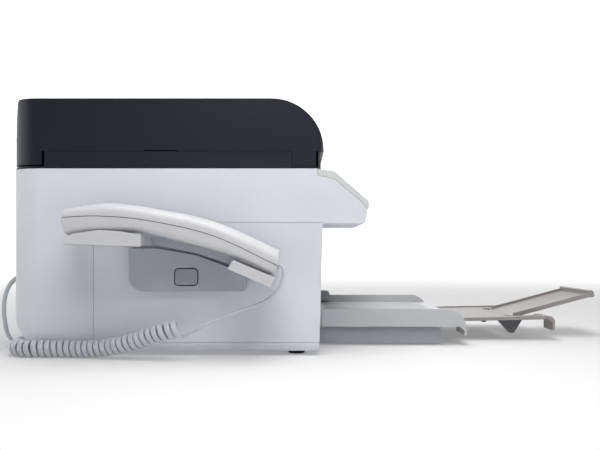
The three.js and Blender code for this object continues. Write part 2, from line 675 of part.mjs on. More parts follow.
function extensionTray() {
  const half = EXTENSION_WIDTH / 2;
  const tip = TRAY_FRONT + EXTENSION_REACH;
  const rear = TRAY_FRONT - 77;
  const low = TRAY_BOTTOM;
  const slab = sideways(
    [
      [rear, low],
      [tip - 15.5, low + 3.6],
      [tip - 8, low + 4.9],
      [tip - 2.2, low + 0.2],
      [tip - 2.2, low - 8.7],
      [tip, low - 8.7],
      [tip, low + 7, 6],
      [tip - 12.5, low + 7.4],
      [tip - 15.5, low + 5.7],
      [rear, low + 2],
    ],
    -half,
    half,
  );
  const legs = [-1, 1].map((side) => {
    const across = side < 0 ? [-half + 14, -half + 24] : [half - 24, half - 14];
    const leg = [
      [tip - 62, low + 4],
      [tip - 46, low - 13.2],
      [tip - 42.5, low - 13.2],
      [tip - 31, low + 4.5],
    ];
    return sideways(leg, ...across);
  });
  const rims = [-half, half - 2].map((x) =>
    sideways([[rear, low + 1], [tip - 14, low + 5], [tip - 14, low + 7.4], [rear, low + 3.8]], x, x + 2),
  );
  const [hingeU, hingeZ] = FLAP_HINGE;
  const ears = [-1, 1].map((side) => {
    const across = side < 0 ? [-SLOT_HALF - EAR, -SLOT_HALF] : [SLOT_HALF, SLOT_HALF + EAR];
    return block(...across, hingeU - 4.5, hingeU + 4.5, hingeZ - 3.6, hingeZ + 3.6);
  });
  const slot = block(-SLOT_HALF, SLOT_HALF, hingeU - 4.5, tip + 1, low - 20, low + 20);
  const bore = bar(PIN_RADIUS + GAP, -SLOT_HALF - EAR - 1, SLOT_HALF + EAR + 1, hingeU, hingeZ, 12);
  return cut(join(slab, ...rims, ...legs, ...ears), slot, bore);
}

// The flap lies in its own frame, hinged at its origin and reaching forward.
function supportFlap() {
  const half = FLAP_WIDTH / 2;
  const rim = 2;
  const plate = block(-half, half, 0, FLAP_LENGTH, -1, 1);
  const barrel = bar(2.2, -half, half, 0, 0, 12);
  const pins = bar(PIN_RADIUS, -SLOT_HALF - EAR + 1, SLOT_HALF + EAR - 1, 0, 0, 12);
  const rims = [-half, half - rim].map((x) => block(x, x + rim, 7, FLAP_LENGTH - 2, 0, 4));
  const stop = sideways(
    [
      [FLAP_LENGTH - 4.5, 6.5, 1],
      [FLAP_LENGTH, 6.5, 3],
      [FLAP_LENGTH, -2, 2],
      [FLAP_LENGTH - 4.5, -2],
    ],
    -half,
    half,
    4,
  );
  return join(plate, barrel, pins, ...rims, stop);
}

function addTrays() {
  piece("paper_cassette", TRAY_DARK, paperCassette());
  piece("paper_guide_left", TRAY_DARK, paperGuide(-CASSETTE_WIDTH / 2 + 12, -1));
  piece("paper_guide_right", TRAY_DARK, paperGuide(CASSETTE_WIDTH / 2 - 12, 1));
  piece("output_cover", TRAY, outputCover());
  piece("extension_tray", TRAY_DARK, extensionTray());
  const flap = new THREE.Group();
  flap.position.set(0, -FLAP_HINGE[0], FLAP_HINGE[1]);
  flap.rotation.x = -FLAP_RISE;
  machine.add(flap);
  piece("support_flap", TRAY_DARK, supportFlap(), flap);
}

// ---- the handset and its cradle -------------------------------------------------------------
const HANDSET_X = [LEFT - 10 - HANDSET_WIDTH, LEFT - 10];
const HANDSET_MIDDLE = LEFT - 10 - HANDSET_WIDTH / 2;
const HANDSET_BACK = [[70.5, 139.5], [108, 145.2], [152, 140.2], [207, 128], [265, 102.1]];
const HANDSET_SEAM = [[69.8, 131.5], [105, 132.7], [150, 128.4], [207, 114.8], [263.7, 88.4]];
const HANDSET_FACE = [[139.9, 118.3], [184.9, 107.8], [223.1, 97.1]];
const PLUG_PLACE = { x: HANDSET_MIDDLE, u: 259.6, z: 88 };

// Points along the smooth curve through a few given ones, raised by an offset.
function along(points, count, offset = 0) {
  const curve = new THREE.SplineCurve(points.map((p) => new THREE.Vector2(...p)));
  return curve.getPoints(count).map(({ x, y }) => [x, y + offset]);
}

// A pocket for the cord's plug in the mouth end of the handset.
function plugPocket() {
  const { x, u, z } = PLUG_PLACE;
  const half = PLUG.width / 2 + PLAY;
  return block(x - half, x + half, u - 5, u + 12, z - PLUG.height / 2 - PLAY, z + PLUG.height / 2 + PLAY);
}

function handsetUpperShell() {
  const corners = [...along(HANDSET_BACK, 14), ...along(HANDSET_SEAM, 14, GAP / 2).reverse()];
  return cut(sideways(corners, ...HANDSET_X), plugPocket());
}

function handsetLowerShell() {
  const corners = [
    ...along(HANDSET_SEAM, 14, -GAP / 2),
    [259.4, 80.4],
    ...along(HANDSET_FACE, 6).reverse(),
    [73, 115.6],
  ];
  return cut(sideways(corners, ...HANDSET_X), plugPocket());
}

const CRADLE_X = [HANDSET_X[0] - 3, LEFT - GAP];
const BUTTON_PLACE = [174.8, 76.8];
const HOOK = { x: HANDSET_MIDDLE + 1, u: 106, size: [8, 12], bottom: 108.6, top: 115 };

function rounded([u, z], [width, height], radius) {
  const [w, h] = [width / 2, height / 2];
  return [[u - w, z - h, radius], [u + w, z - h, radius], [u + w, z + h, radius], [u - w, z + h, radius]];
}

function cradlePlinth() {
  const corners = [
    [119.7, 62.8, 14.5],
    [232.3, 62.8, 5],
    [232.3, 79],
    [218.6, 84.9],
    [184, 97.8],
    [146, 104.2],
    [119.7, 104.2],
  ];
  const hole = rounded(BUTTON_PLACE, BUTTON_SIZE.map((side) => side + 2), 4.5);
  return cut(
    sideways(corners, LEFT - CRADLE_DEPTH, LEFT - GAP),
    sideways(hole, LEFT - CRADLE_DEPTH - 1, LEFT + 1),
  );
}

function cradleBracket() {
  const [outer, inner] = CRADLE_X;
  const lip = sideways(
    [[73, 108.2], [142.3, 105.4], [142.3, 116], [125, 119], [105, 120.4], [82, 117], [73, 112]],
    outer,
    outer + 2,
  );
  const earFloor = block(outer + 1, inner, 74, 141.5, 107, 114.6);
  const arm = sideways(
    [
      [136, 107],
      [146, 107.6],
      [184, 99.4],
      [222, 87.5],
      [226, 93.6],
      [186, 105.5],
      [150, 114.6],
      [136, 114.6],
    ],
    LEFT - CRADLE_DEPTH - 1,
    inner,
  );
  const mouthCup = sideways([[219.1, 85.8], [257.2, 69.3], [261.7, 77.9], [224.2, 93.5]], outer + 1.5, inner);
  const { x, u, size, bottom } = HOOK;
  const [w, l] = [size[0] / 2 + PLAY, size[1] / 2 + PLAY];
  return cut(join(lip, earFloor, arm, mouthCup), block(x - w, x + w, u - l, u + l, bottom - 9, 120));
}

function addHandset() {
  piece("cradle_plinth", SHADED, cradlePlinth());
  piece("cradle_bracket", HANDSET, cradleBracket());
  const button = sideways(rounded(BUTTON_PLACE, BUTTON_SIZE, 3.5), LEFT - CRADLE_DEPTH - 0.6, LEFT - 2.4);
  piece("cradle_button", BUTTON, button);
  const { x, u, size, bottom, top } = HOOK;
  const [w, l] = [size[0] / 2, size[1] / 2];
  piece("hook_switch", HANDSET, block(x - w, x + w, u - l, u + l, bottom, top));
  piece("handset_upper_shell", HANDSET, handsetUpperShell());
  piece("handset_lower_shell", HANDSET, handsetLowerShell());
}

// ---- the handset cord -----------------------------------------------------------------------
// Routes are [x, u, z], chosen for a body 400 wide.
const LEAD_ROUTE = [
  [-233, 264.4, 88],
  [-233, 266.2, 87.9],
  [-233.1, 267.9, 85],
  [-233.3, 268.2, 79.8],
  [-233.6, 266.9, 73.9],
  [-233.9, 264.2, 67.8],
  [-234.2, 259, 61.2],
  [-234.6, 251.9, 56.1],
  [-235, 242.5, 51.8],
  [-235.5, 233.1, 48.6],
  [-236, 220.9, 44.2],
  [-236.6, 205.8, 38],
  [-237.2, 190.5, 30.6],
  [-237.6, 182.8, 26.4],
  [-237.8, 179, 24.6],
  [-238, 175.4, 23.4],
];
const COIL_ROUTE = [
  [-238, 172.4, 30.4],
  [-236, 159, 27.2],
  [-232, 146, 23.1],
  [-228, 134, 18.6],
  [-224, 121, 14.8],
  [-220, 109, 12],
  [-215.5, 92, 9.6],
  [-212, 76, 8.6],
  [-210, 58, 8.4],
  [-209.4, 42, 8.4],
  [-208.6, 26, 8.4],
  [-202, 12.5, 8.4],
  [-188, 6.6, 8.4],
  [-168, 6.4, 8.4],
  [-145, 8, 8.4],
  [-120, 8, 8.4],
  [-97, 8, 8.4],
];
const TAIL_ROUTE = [
  [-96.5, 8, 2.6],
  [-88, 7.6, 2.6],
  [-79.5, 4.2, 2.6],
  [-75, -3.5, 2.6],
  [-76.5, -12.5, 2.6],
  [-84, -19.5, 2.6],
  [-95, -23.5, 2.6],
  [-107, -26.5, 3],
  [-117, -28.5, 6],
  [-124, -30, 14],
  [-128, -31, 26],
  [-129.6, -31.5, 40],
  [-130, -30, 53],
  [-130, -26, 64],
  [-130, -19.5, 71.5],
  [-130, -13.5, 74.6],
  [-130, -9.3, 75],
];

// A round tube along a route, closed at both ends.
function tube(route, diameter, sides, steps) {
  const section = new THREE.Shape();
  for (let i = 0; i < sides; i++) {
    const turn = (2 * Math.PI * i) / sides;
    const point = [(diameter / 2) * Math.cos(turn), (diameter / 2) * Math.sin(turn)];
    if (i === 0) section.moveTo(...point);
    else section.lineTo(...point);
  }
  const path = new THREE.CatmullRomCurve3(route.map(([x, u, z]) => new THREE.Vector3(x, -u, z)));
  return solid(new THREE.ExtrudeGeometry(section, { steps, extrudePath: path }));
}

function addCord() {
  const cord = new THREE.Group();
  cord.name = "cord";
  machine.add(cord);
  piece("handset_cord_lead", CORD, tube(LEAD_ROUTE, CORD_DIAMETER, 8, 16), cord);
  piece("handset_cord_coil", CORD, tube(COIL_ROUTE, COIL_DIAMETER, 12, 30), cord);
  piece("handset_cord_tail", CORD, tube(TAIL_ROUTE, CORD_DIAMETER, 8, 20), cord);
  const { x, u, z } = PLUG_PLACE;
  const [w, h] = [PLUG.width / 2, PLUG.height / 2];
  piece("handset_plug", CLEAR, block(x - w, x + w, u - 4.5, u + 4.3, z - h, z + h), cord);
  const jackZ = (JACKS.z0 + JACKS.z1) / 2;
  const basePlug = block(HANDSET_JACK_X - w, HANDSET_JACK_X + w, -PLUG.out, PLUG.in, jackZ - h, jackZ + h);
  piece("base_plug", CLEAR, basePlug, cord);
  return cord;
}

addBody();
addPanel();
addScanner();
addLid();
addMechanism();
addTrays();
addHandset();

// The origin is on the table, under the middle of the machine as it measures without the cord.
const size = new THREE.Box3().setFromObject(machine);
const middle = size.getCenter(new THREE.Vector3());
addCord();
machine.position.set(-middle.x, -middle.y, -size.min.z);

const fax = new THREE.Group();
fax.add(machine);

export default fax;
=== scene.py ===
"""A desktop fax machine: its shells, lid, control panel, trays, handset and curly cord.

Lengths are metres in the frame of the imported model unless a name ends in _mm. Side view shapes are
given as (u, z) in millimetres, where u is the distance in front of the rear wall.
"""

import logging
import math
from dataclasses import dataclass, field
from enum import Enum

import bmesh
import bpy
import numpy as np
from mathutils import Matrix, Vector


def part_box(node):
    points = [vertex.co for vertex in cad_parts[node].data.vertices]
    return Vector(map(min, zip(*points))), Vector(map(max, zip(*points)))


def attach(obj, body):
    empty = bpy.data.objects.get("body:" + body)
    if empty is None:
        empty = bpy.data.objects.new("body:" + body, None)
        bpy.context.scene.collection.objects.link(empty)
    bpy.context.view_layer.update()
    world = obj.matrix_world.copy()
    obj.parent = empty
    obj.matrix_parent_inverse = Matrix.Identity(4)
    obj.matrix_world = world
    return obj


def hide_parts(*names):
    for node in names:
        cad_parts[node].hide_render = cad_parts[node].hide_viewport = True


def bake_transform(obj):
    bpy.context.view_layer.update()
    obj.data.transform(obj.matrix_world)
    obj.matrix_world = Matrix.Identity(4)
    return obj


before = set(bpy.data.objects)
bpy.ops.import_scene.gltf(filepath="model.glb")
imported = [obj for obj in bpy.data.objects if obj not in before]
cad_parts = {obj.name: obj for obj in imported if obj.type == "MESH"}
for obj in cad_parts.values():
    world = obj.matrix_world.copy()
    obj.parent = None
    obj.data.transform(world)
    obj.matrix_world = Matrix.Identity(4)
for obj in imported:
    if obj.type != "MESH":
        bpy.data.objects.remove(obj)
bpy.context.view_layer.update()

log = logging.getLogger("fax")

# The side cover's outer face and the socket panel's rear face place the machine's own axes.
BODY_WIDTH_MM = 400.0
MIDDLE_X = float(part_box("left_side_cover")[0][0]) + BODY_WIDTH_MM / 2000
REAR_Y = float(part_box("jack_panel")[1][1])


def place(points_mm: np.ndarray) -> np.ndarray:
    """Points (x, u, z) in millimetres as points of the shared frame: x + middle, rear - u, z.

    Args:
        points_mm: an array whose last axis holds x, u and z.

    Returns:
        An array of the same shape in metres.
    """
    points = np.asarray(points_mm, float) / 1000
    return np.stack([points[..., 0] + MIDDLE_X, REAR_Y - points[..., 1], points[..., 2]], axis=-1)


def corners(node: str) -> tuple[np.ndarray, np.ndarray]:
    """The lowest and the highest corner of a CAD node's box, in metres."""
    low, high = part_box(node)
    return np.array(low), np.array(high)


def middle_and_half(node: str) -> tuple[np.ndarray, np.ndarray]:
    """The middle of a CAD node's box and its half sizes, in metres."""
    low, high = corners(node)
    return (low + high) / 2, (high - low) / 2


# ---- finishes -------------------------------------------------------------------------------
DRIFT_CELLS_PER_M = 14
ROUGHNESS_SPREAD = 0.06
GRAIN_DEPTH_M = 0.0002
GLASS_TRANSMISSION = 0.85
GLASS_IOR = 1.46


class Surface(Enum):
    """How the light meets a finish."""

    PLASTIC = "plastic"
    METAL = "metal"
    GLASS = "glass"


def linear(srgb: tuple[int, int, int]) -> tuple[float, float, float, float]:
    """An sRGB colour as linear values: v / 12.92 when dark, else ((v + 0.055) / 1.055)^2.4.

    Args:
        srgb: red, green and blue of 0 to 255.

    Returns:
        Linear red, green and blue, with alpha 1.
    """
    parts = np.array(srgb) / 255
    low, high = parts / 12.92, ((parts + 0.055) / 1.055) ** 2.4
    return (*np.where(parts <= 0.04045, low, high).tolist(), 1.0)


@dataclass(frozen=True)
class Finish:
    """One moulded, ground or polished surface.

    Its colour drifts a little over the piece, its roughness varies more finely, and a fine grain
    is pressed into it as a bump.
    """

    name: str
    colour: tuple[int, int, int]
    roughness: float
    surface: Surface = Surface.PLASTIC
    grain_mm: float = 0.5
    bump: float = 0.08
    drift: float = 0.035
    stretch: tuple[float, float, float] = (1.0, 1.0, 1.0)
    specular: float = 0.5
    coat: float = 0.0

    def material(self) -> bpy.types.Material:
        """The finish as a node material, made once.

        Returns:
            The material of this name.
        """
        found = bpy.data.materials.get(self.name)
        if found:
            return found
        made = bpy.data.materials.new(self.name)
        made.use_nodes = True
        tree = made.node_tree
        shader = tree.nodes["Principled BSDF"]
        shader.inputs["Metallic"].default_value = float(self.surface is Surface.METAL)
        shader.inputs["Specular IOR Level"].default_value = self.specular
        shader.inputs["Coat Weight"].default_value = self.coat
        if self.surface is Surface.GLASS:
            shader.inputs["Transmission Weight"].default_value = GLASS_TRANSMISSION
            shader.inputs["IOR"].default_value = GLASS_IOR
        coordinates = tree.nodes.new("ShaderNodeTexCoord")
        mapping = tree.nodes.new("ShaderNodeMapping")
        mapping.inputs["Scale"].default_value = self.stretch
        tree.links.new(coordinates.outputs["Object"], mapping.inputs["Vector"])
        self._colour(tree, mapping, shader)
        self._grain(tree, mapping, shader)
        return made

    def _noise(
        self, tree: bpy.types.NodeTree, mapping: bpy.types.Node, scale: float, detail: float
    ) -> bpy.types.Node:
        """A noise texture on the object's own coordinates.

        Args:
            tree: the material's nodes and links.
            mapping: the stretched coordinates.
            scale: cells to the metre.
            detail: how many finer layers it has.

        Returns:
            The noise node.
        """
        noise = tree.nodes.new("ShaderNodeTexNoise")
        noise.inputs["Scale"].default_value = scale
        noise.inputs["Detail"].default_value = detail
        tree.links.new(mapping.outputs["Vector"], noise.inputs["Vector"])
        return noise

    def _colour(
        self, tree: bpy.types.NodeTree, mapping: bpy.types.Node, shader: bpy.types.Node
    ) -> None:
        """Slow drift between a slightly darker and a slightly lighter tone of the colour.

        Args:
            tree: the material's nodes and links.
            mapping: the stretched coordinates.
            shader: the node that takes the colour.
        """
        base = np.array(linear(self.colour))
        ramp = tree.nodes.new("ShaderNodeValToRGB")
        darker, lighter = ramp.color_ramp.elements
        darker.position, lighter.position = 0.3, 0.7
        darker.color = (*(base[:3] * (1 - self.drift)), 1)
        lighter.color = (*np.minimum(base[:3] * (1 + self.drift), 1), 1)
        slow = self._noise(tree, mapping, DRIFT_CELLS_PER_M, 4)
        tree.links.new(slow.outputs["Fac"], ramp.inputs["Fac"])
        tree.links.new(ramp.outputs["Color"], shader.inputs["Base Color"])

    def _grain(
        self, tree: bpy.types.NodeTree, mapping: bpy.types.Node, shader: bpy.types.Node
    ) -> None:
        """Fine grain as a bump, and the same grain as a small change of roughness.

        Args:
            tree: the material's nodes and links.
            mapping: the stretched coordinates.
            shader: the node that takes the bump and the roughness.
        """
        grain = self._noise(tree, mapping, 1000 / self.grain_mm, 3)
        bump = tree.nodes.new("ShaderNodeBump")
        bump.inputs["Strength"].default_value = self.bump
        bump.inputs["Distance"].default_value = GRAIN_DEPTH_M
        tree.links.new(grain.outputs["Fac"], bump.inputs["Height"])
        tree.links.new(bump.outputs["Normal"], shader.inputs["Normal"])
        spread = tree.nodes.new("ShaderNodeMapRange")
        spread.inputs["To Min"].default_value = max(self.roughness - ROUGHNESS_SPREAD, 0.02)
        spread.inputs["To Max"].default_value = min(self.roughness + ROUGHNESS_SPREAD, 1.0)
        tree.links.new(grain.outputs["Fac"], spread.inputs["Value"])
        tree.links.new(spread.outputs["Result"], shader.inputs["Roughness"])


SHELL = Finish("shell_light_grey", (214, 217, 223), 0.46)
PANEL = Finish("panel_light_grey", (203, 205, 207), 0.42)
LID = Finish("lid_blue_black", (23, 27, 35), 0.4, bump=0.14, grain_mm=0.7, drift=0.06, specular=0.35)
FRAME_BLACK = Finish("scanner_frame_black", (20, 23, 31), 0.46, bump=0.14, grain_mm=0.7, specular=0.35)
TRAY = Finish("tray_grey", (190, 191, 194), 0.44)
CASSETTE = Finish("cassette_grey", (160, 162, 167), 0.46)
EXTENSION = Finish("extension_warm_grey", (152, 148, 147), 0.44)
HANDSET = Finish("handset_white", (200, 200, 202), 0.4, bump=0.05, grain_mm=0.4)
# The plinth's grey is partly its own tone and partly painted shade from the handset over it.
PLINTH_WITH_SHADE = Finish("plinth_grey_with_painted_shade", (168, 172, 180), 0.48)
BUTTON = Finish("button_grey", (150, 154, 160), 0.4, bump=0.05)
KEY = Finish("key_white", (228, 229, 230), 0.38, bump=0.04)
KEY_STOP = Finish("key_stop_red", (168, 52, 46), 0.36, bump=0.04)
KEY_START = Finish("key_start_green", (58, 136, 84), 0.36, bump=0.04)
LEGEND = Finish("legend_ink", (70, 74, 82), 0.55, bump=0.02, drift=0.02)
DISPLAY = Finish("display_grey_green", (74, 84, 78), 0.12, bump=0.02, drift=0.08, coat=1.0)
BEZEL = Finish("display_bezel", (38, 40, 44), 0.22, bump=0.03)
# Near-black with no shine: painted shade for the bottom of grooves and gaps.
SHADE_BLACK = Finish("painted_shade_black", (6, 6, 8), 0.95, bump=0.0, drift=0.01, specular=0.0)
DARK = Finish("dark_plastic", (40, 41, 44), 0.55, bump=0.12)
RUBBER = Finish("black_rubber", (28, 28, 29), 0.85, bump=0.3, grain_mm=0.9, specular=0.3)
STEEL = Finish("ground_steel", (184, 186, 190), 0.28, Surface.METAL, 0.6, 0.12, 0.05, (0.04, 1, 1))
GLASS = Finish("platen_glass_clear", (196, 214, 212), 0.05, Surface.GLASS, bump=0.0)
PAD = Finish("pad_white", (240, 240, 238), 0.6, bump=0.05, drift=0.015)
CORD = Finish("cord_grey", (192, 195, 200), 0.42, bump=0.04, grain_mm=0.35)
GILT = Finish("contact_gilt", (206, 170, 92), 0.3, Surface.METAL, bump=0.03)
LAMP_AMBER = Finish("lamp_amber", (206, 140, 40), 0.25, bump=0.03, coat=0.5)
CLEAR = Finish("plug_clear", (222, 226, 228), 0.14, Surface.GLASS, bump=0.02)
CARTRIDGES = (
    Finish("cartridge_black", (34, 34, 36), 0.4),
    Finish("cartridge_cyan", (40, 120, 168), 0.4),
    Finish("cartridge_magenta", (168, 48, 104), 0.4),
    Finish("cartridge_yellow", (214, 184, 52), 0.4),
)


# ---- meshes ---------------------------------------------------------------------------------
TOUCHING_M = 2e-6
CAD_TOUCHING_M = 1e-5
FLAT_DEG = 0.8
CAP_EDGE_RINGS = 5
CAP_DISH_RINGS = 5
CAP_MIDDLE = 0.04
CAP_SIDES = 40


def mesh_object(name: str, points: np.ndarray, faces: list, smooth_deg: float = 35) -> bpy.types.Object:
    """A new object from points and faces, with its own place in its mesh.

    Args:
        name: the piece's name.
        points: (n, 3) in metres.
        faces: index lists, wound so that they face outwards.
        smooth_deg: edges sharper than this stay sharp.

    Returns:
        The object, linked to the scene.
    """
    mesh = bpy.data.meshes.new(name)
    mesh.from_pydata(np.asarray(points, float).tolist(), [], [list(map(int, f)) for f in faces])
    return finished(name, mesh, smooth_deg)


def finished(name: str, mesh: bpy.types.Mesh, smooth_deg: float) -> bpy.types.Object:
    """Makes the normals of a closed mesh face outwards, smooths it and links it.

    Args:
        name: the piece's name.
        mesh: a closed mesh in metres.
        smooth_deg: edges sharper than this stay sharp.

    Returns:
        The new object.
    """
    work = bmesh.new()
    work.from_mesh(mesh)
    bmesh.ops.remove_doubles(work, verts=work.verts, dist=TOUCHING_M)
    bmesh.ops.recalc_face_normals(work, faces=work.faces)
    work.to_mesh(mesh)
    work.free()
    mesh.shade_smooth()
    mesh.set_sharp_from_angle(angle=math.radians(smooth_deg))
    made = bpy.data.objects.new(name, mesh)
    bpy.context.scene.collection.objects.link(made)
    return made


def skin(rings: np.ndarray) -> tuple[np.ndarray, list]:
    """A closed skin over rings of points: quads between neighbouring rings and a face at each end.

    Args:
        rings: (rings, points in a ring, 3).

    Returns:
        The points as (n, 3), and the faces.
    """
    count, around = rings.shape[:2]
    row, column = np.meshgrid(np.arange(count - 1), np.arange(around), indexing="ij")
    a = row * around + column
    b = row * around + (column + 1) % around
    quads = np.stack([a, b, b + around, a + around], axis=-1).reshape(-1, 4)
    ends = [np.arange(around)[::-1], np.arange(around) + (count - 1) * around]
    return rings.reshape(-1, 3), [*quads.tolist(), *[end.tolist() for end in ends]]


def merged(parts: list[tuple[np.ndarray, list]]) -> tuple[np.ndarray, list]:
    """Several skins as one: each part's face numbers move up by the points before it.

    Args:
        parts: the points and faces of each skin.

    Returns:
        The points and faces of all of them.
    """
    counts = np.cumsum([0] + [len(points) for points, _ in parts])
    faces = [[int(i) + int(base) for i in face] for (_, each), base in zip(parts, counts) for face in each]
    return np.vstack([points for points, _ in parts]), faces


def blocks(boxes: list[tuple[np.ndarray, np.ndarray]]) -> tuple[np.ndarray, list]:
    """Rectangular blocks.

    Args:
        boxes: the middle and the half sizes of each block, in metres.

    Returns:
        Points and faces.
    """
    corner = np.array([[-1, -1], [1, -1], [1, 1], [-1, 1]], float)
    unit_rings = np.stack([np.column_stack([corner, np.full(4, z)]) for z in (-1.0, 1.0)])
    return merged([skin(np.asarray(middle) + unit_rings * np.asarray(half)) for middle, half in boxes])


def turned(
    profile: list[tuple[float, float]], start: np.ndarray, axis: np.ndarray, sides: int = 32
) -> tuple[np.ndarray, list]:
    """A body of revolution.

    A point is start + along axis + radius (p cos a + q sin a), with p and q square to the axis.

    Args:
        profile: (distance along the axis, radius) in millimetres.
        start: where the axis begins, in metres.
        axis: its direction.
        sides: points round each ring.

    Returns:
        Points and faces.
    """
    axis = unit(np.asarray(axis, float)[None])[0]
    helper = np.array([0.0, 0.0, 1.0]) if abs(axis[2]) < 0.9 else np.array([1.0, 0.0, 0.0])
    p = unit(np.cross(axis, helper)[None])[0]
    q = np.cross(axis, p)
    angle = np.linspace(0, 2 * np.pi, sides, endpoint=False)
    spoke = np.cos(angle)[:, None] * p + np.sin(angle)[:, None] * q
    shape = np.array(profile, float) / 1000
    rings = np.asarray(start) + shape[:, 0, None, None] * axis + shape[:, 1, None, None] * spoke
    return skin(rings)


def catmull(points: np.ndarray, per_span: int) -> np.ndarray:
    """A smooth curve through points: a Catmull-Rom cubic on every span.

    Args:
        points: (n, k).
        per_span: how many samples each span gets.

    Returns:
        ((n - 1) * per_span + 1, k) samples, the last point included.
    """
    p = np.asarray(points, float)
    padded = np.vstack([2 * p[0] - p[1], p, 2 * p[-1] - p[-2]])
    t = np.linspace(0, 1, per_span, endpoint=False)[None, :, None]
    a, b, c, d = (padded[i : len(p) - 1 + i, None] for i in range(4))
    curve = 0.5 * (2 * b + (c - a) * t + (2 * a - 5 * b + 4 * c - d) * t**2 + (3 * b - a - 3 * c + d) * t**3)
    return np.vstack([curve.reshape(-1, p.shape[1]), p[-1]])


def even(points: np.ndarray, step: float) -> np.ndarray:
    """The same line with its points evenly apart, measured along it.

    Args:
        points: (n, k).
        step: the distance wanted between neighbours.

    Returns:
        (m, k) points, both ends included.
    """
    along = np.concatenate([[0], np.cumsum(np.linalg.norm(np.diff(points, axis=0), axis=1))])
    at = np.linspace(0, along[-1], max(int(round(along[-1] / step)), 2) + 1)
    return np.stack([np.interp(at, along, points[:, k]) for k in range(points.shape[1])], axis=-1)


def unit(vectors: np.ndarray) -> np.ndarray:
    """Vectors scaled to length one along the last axis."""
    return vectors / np.maximum(np.linalg.norm(vectors, axis=-1, keepdims=True), 1e-12)


def superellipse(count: int, half_w: float, half_h: float, power: float) -> np.ndarray:
    """A rounded rectangle: x = w |cos t|^(2/p), y = h |sin t|^(2/p), with the signs of cos and sin.

    Args:
        count: points round it.
        half_w: w, half its width.
        half_h: h, half its height.
        power: p, 2 for an ellipse and more for squarer corners.

    Returns:
        (count, 2) points.
    """
    t = np.linspace(0, 2 * np.pi, count, endpoint=False)
    c, s = np.cos(t), np.sin(t)
    x = half_w * np.sign(c) * np.abs(c) ** (2 / power)
    y = half_h * np.sign(s) * np.abs(s) ** (2 / power)
    return np.stack([x, y], axis=-1)


def rounded_cap(
    centre: np.ndarray, across: np.ndarray, along: np.ndarray, out: np.ndarray,
    half: tuple[float, float], depth: float, height: float, edge: float, dish: float,
) -> tuple[np.ndarray, list]:
    """A key or button cap: rounded-rectangle rings that draw in over the edge and dip into a dish.

    The rings' inset follows a quarter circle of radius edge, and the top falls by dish towards its
    middle as a parabola.

    Args:
        centre: the middle of the cap at its surface of reference.
        across: unit vector of the cap's width.
        along: unit vector of its length.
        out: unit vector out of the surface.
        half: half its width and half its length.
        depth: how far it reaches below the surface.
        height: how far it stands above it.
        edge: radius of its top edge.
        dish: how far the middle of its top is sunk.

    Returns:
        Points and faces.
    """
    turn = np.linspace(0, np.pi / 2, CAP_EDGE_RINGS)
    inset = np.concatenate([[0], edge * (1 - np.cos(turn))])
    h_sides = half[1] - inset
    level = np.concatenate([[-depth], height - edge + edge * np.sin(turn)])
    shrink = np.linspace(1, CAP_MIDDLE, CAP_DISH_RINGS + 1)[1:]
    top = half[0] - edge
    inset = np.concatenate([inset, half[0] - top * shrink])
    level = np.concatenate([level, height - dish * (1 - shrink**2)])
    base = superellipse(CAP_SIDES, 1, 1, 6)
    w = np.maximum(half[0] - inset, 1e-5)
    h = np.concatenate([h_sides, (half[1] - edge) * shrink])
    rings = (
        centre
        + (base[None, :, 0:1] * w[:, None, None]) * across
        + (base[None, :, 1:2] * h[:, None, None]) * along
        + level[:, None, None] * out
    )
    return skin(rings)


@dataclass
class Piece:
    """Dresses one finished object and ties it to its body."""

    obj: bpy.types.Object
    finish: Finish
    body: str
    slot: str
    stands_for: tuple[str, ...] = ()

    def settle(self) -> bpy.types.Object:
        """Gives the object its material and its body, and hides the nodes it stands for.

        Returns:
            The same object.
        """
        self.obj.data.materials.clear()
        self.obj.data.materials.append(self.finish.material())
        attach(self.obj, self.body)
        if self.stands_for:
            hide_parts(*self.stands_for)
        log.info("%s rides on %s", self.obj.name, self.body)
        return self.obj


def moulded(node: str, edge_mm: float, segments: int = 2, sharp_deg: float = 32) -> bpy.types.Object:
    """A copy of a CAD node with its triangles joined into faces and its edges rounded.

    Args:
        node: the CAD node.
        edge_mm: radius of its edges.
        segments: faces across each rounded edge.
        sharp_deg: only edges sharper than this are rounded.

    Returns:
        The new object, at the origin.
    """
    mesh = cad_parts[node].data.copy()
    work = bmesh.new()
    work.from_mesh(mesh)
    bmesh.ops.remove_doubles(work, verts=work.verts, dist=CAD_TOUCHING_M)
    flat = math.radians(FLAT_DEG)
    bmesh.ops.dissolve_limit(work, angle_limit=flat, verts=work.verts, edges=work.edges)
    work.to_mesh(mesh)
    work.free()
    mesh.shade_smooth()
    mesh.set_sharp_from_angle(angle=math.radians(sharp_deg))
    made = bpy.data.objects.new("visible_" + node, mesh)
    bpy.context.scene.collection.objects.link(made)
    bevel = made.modifiers.new("rounded edges", "BEVEL")
    bevel.width = edge_mm / 1000
    bevel.segments = segments
    bevel.limit_method = "ANGLE"
    bevel.angle_limit = math.radians(sharp_deg)
    bevel.harden_normals = True
    return made


def show_nodes(*rows: tuple[str, float, Finish, str, str]) -> None:
    """Puts a rounded and dressed copy in the place of each CAD node.

    Args:
        rows: a node, the radius of its edges in millimetres, its finish, its body and its slot.
    """
    for node, edge_mm, finish, body, slot in rows:
        Piece(moulded(node, edge_mm), finish, body, slot, (node,)).settle()


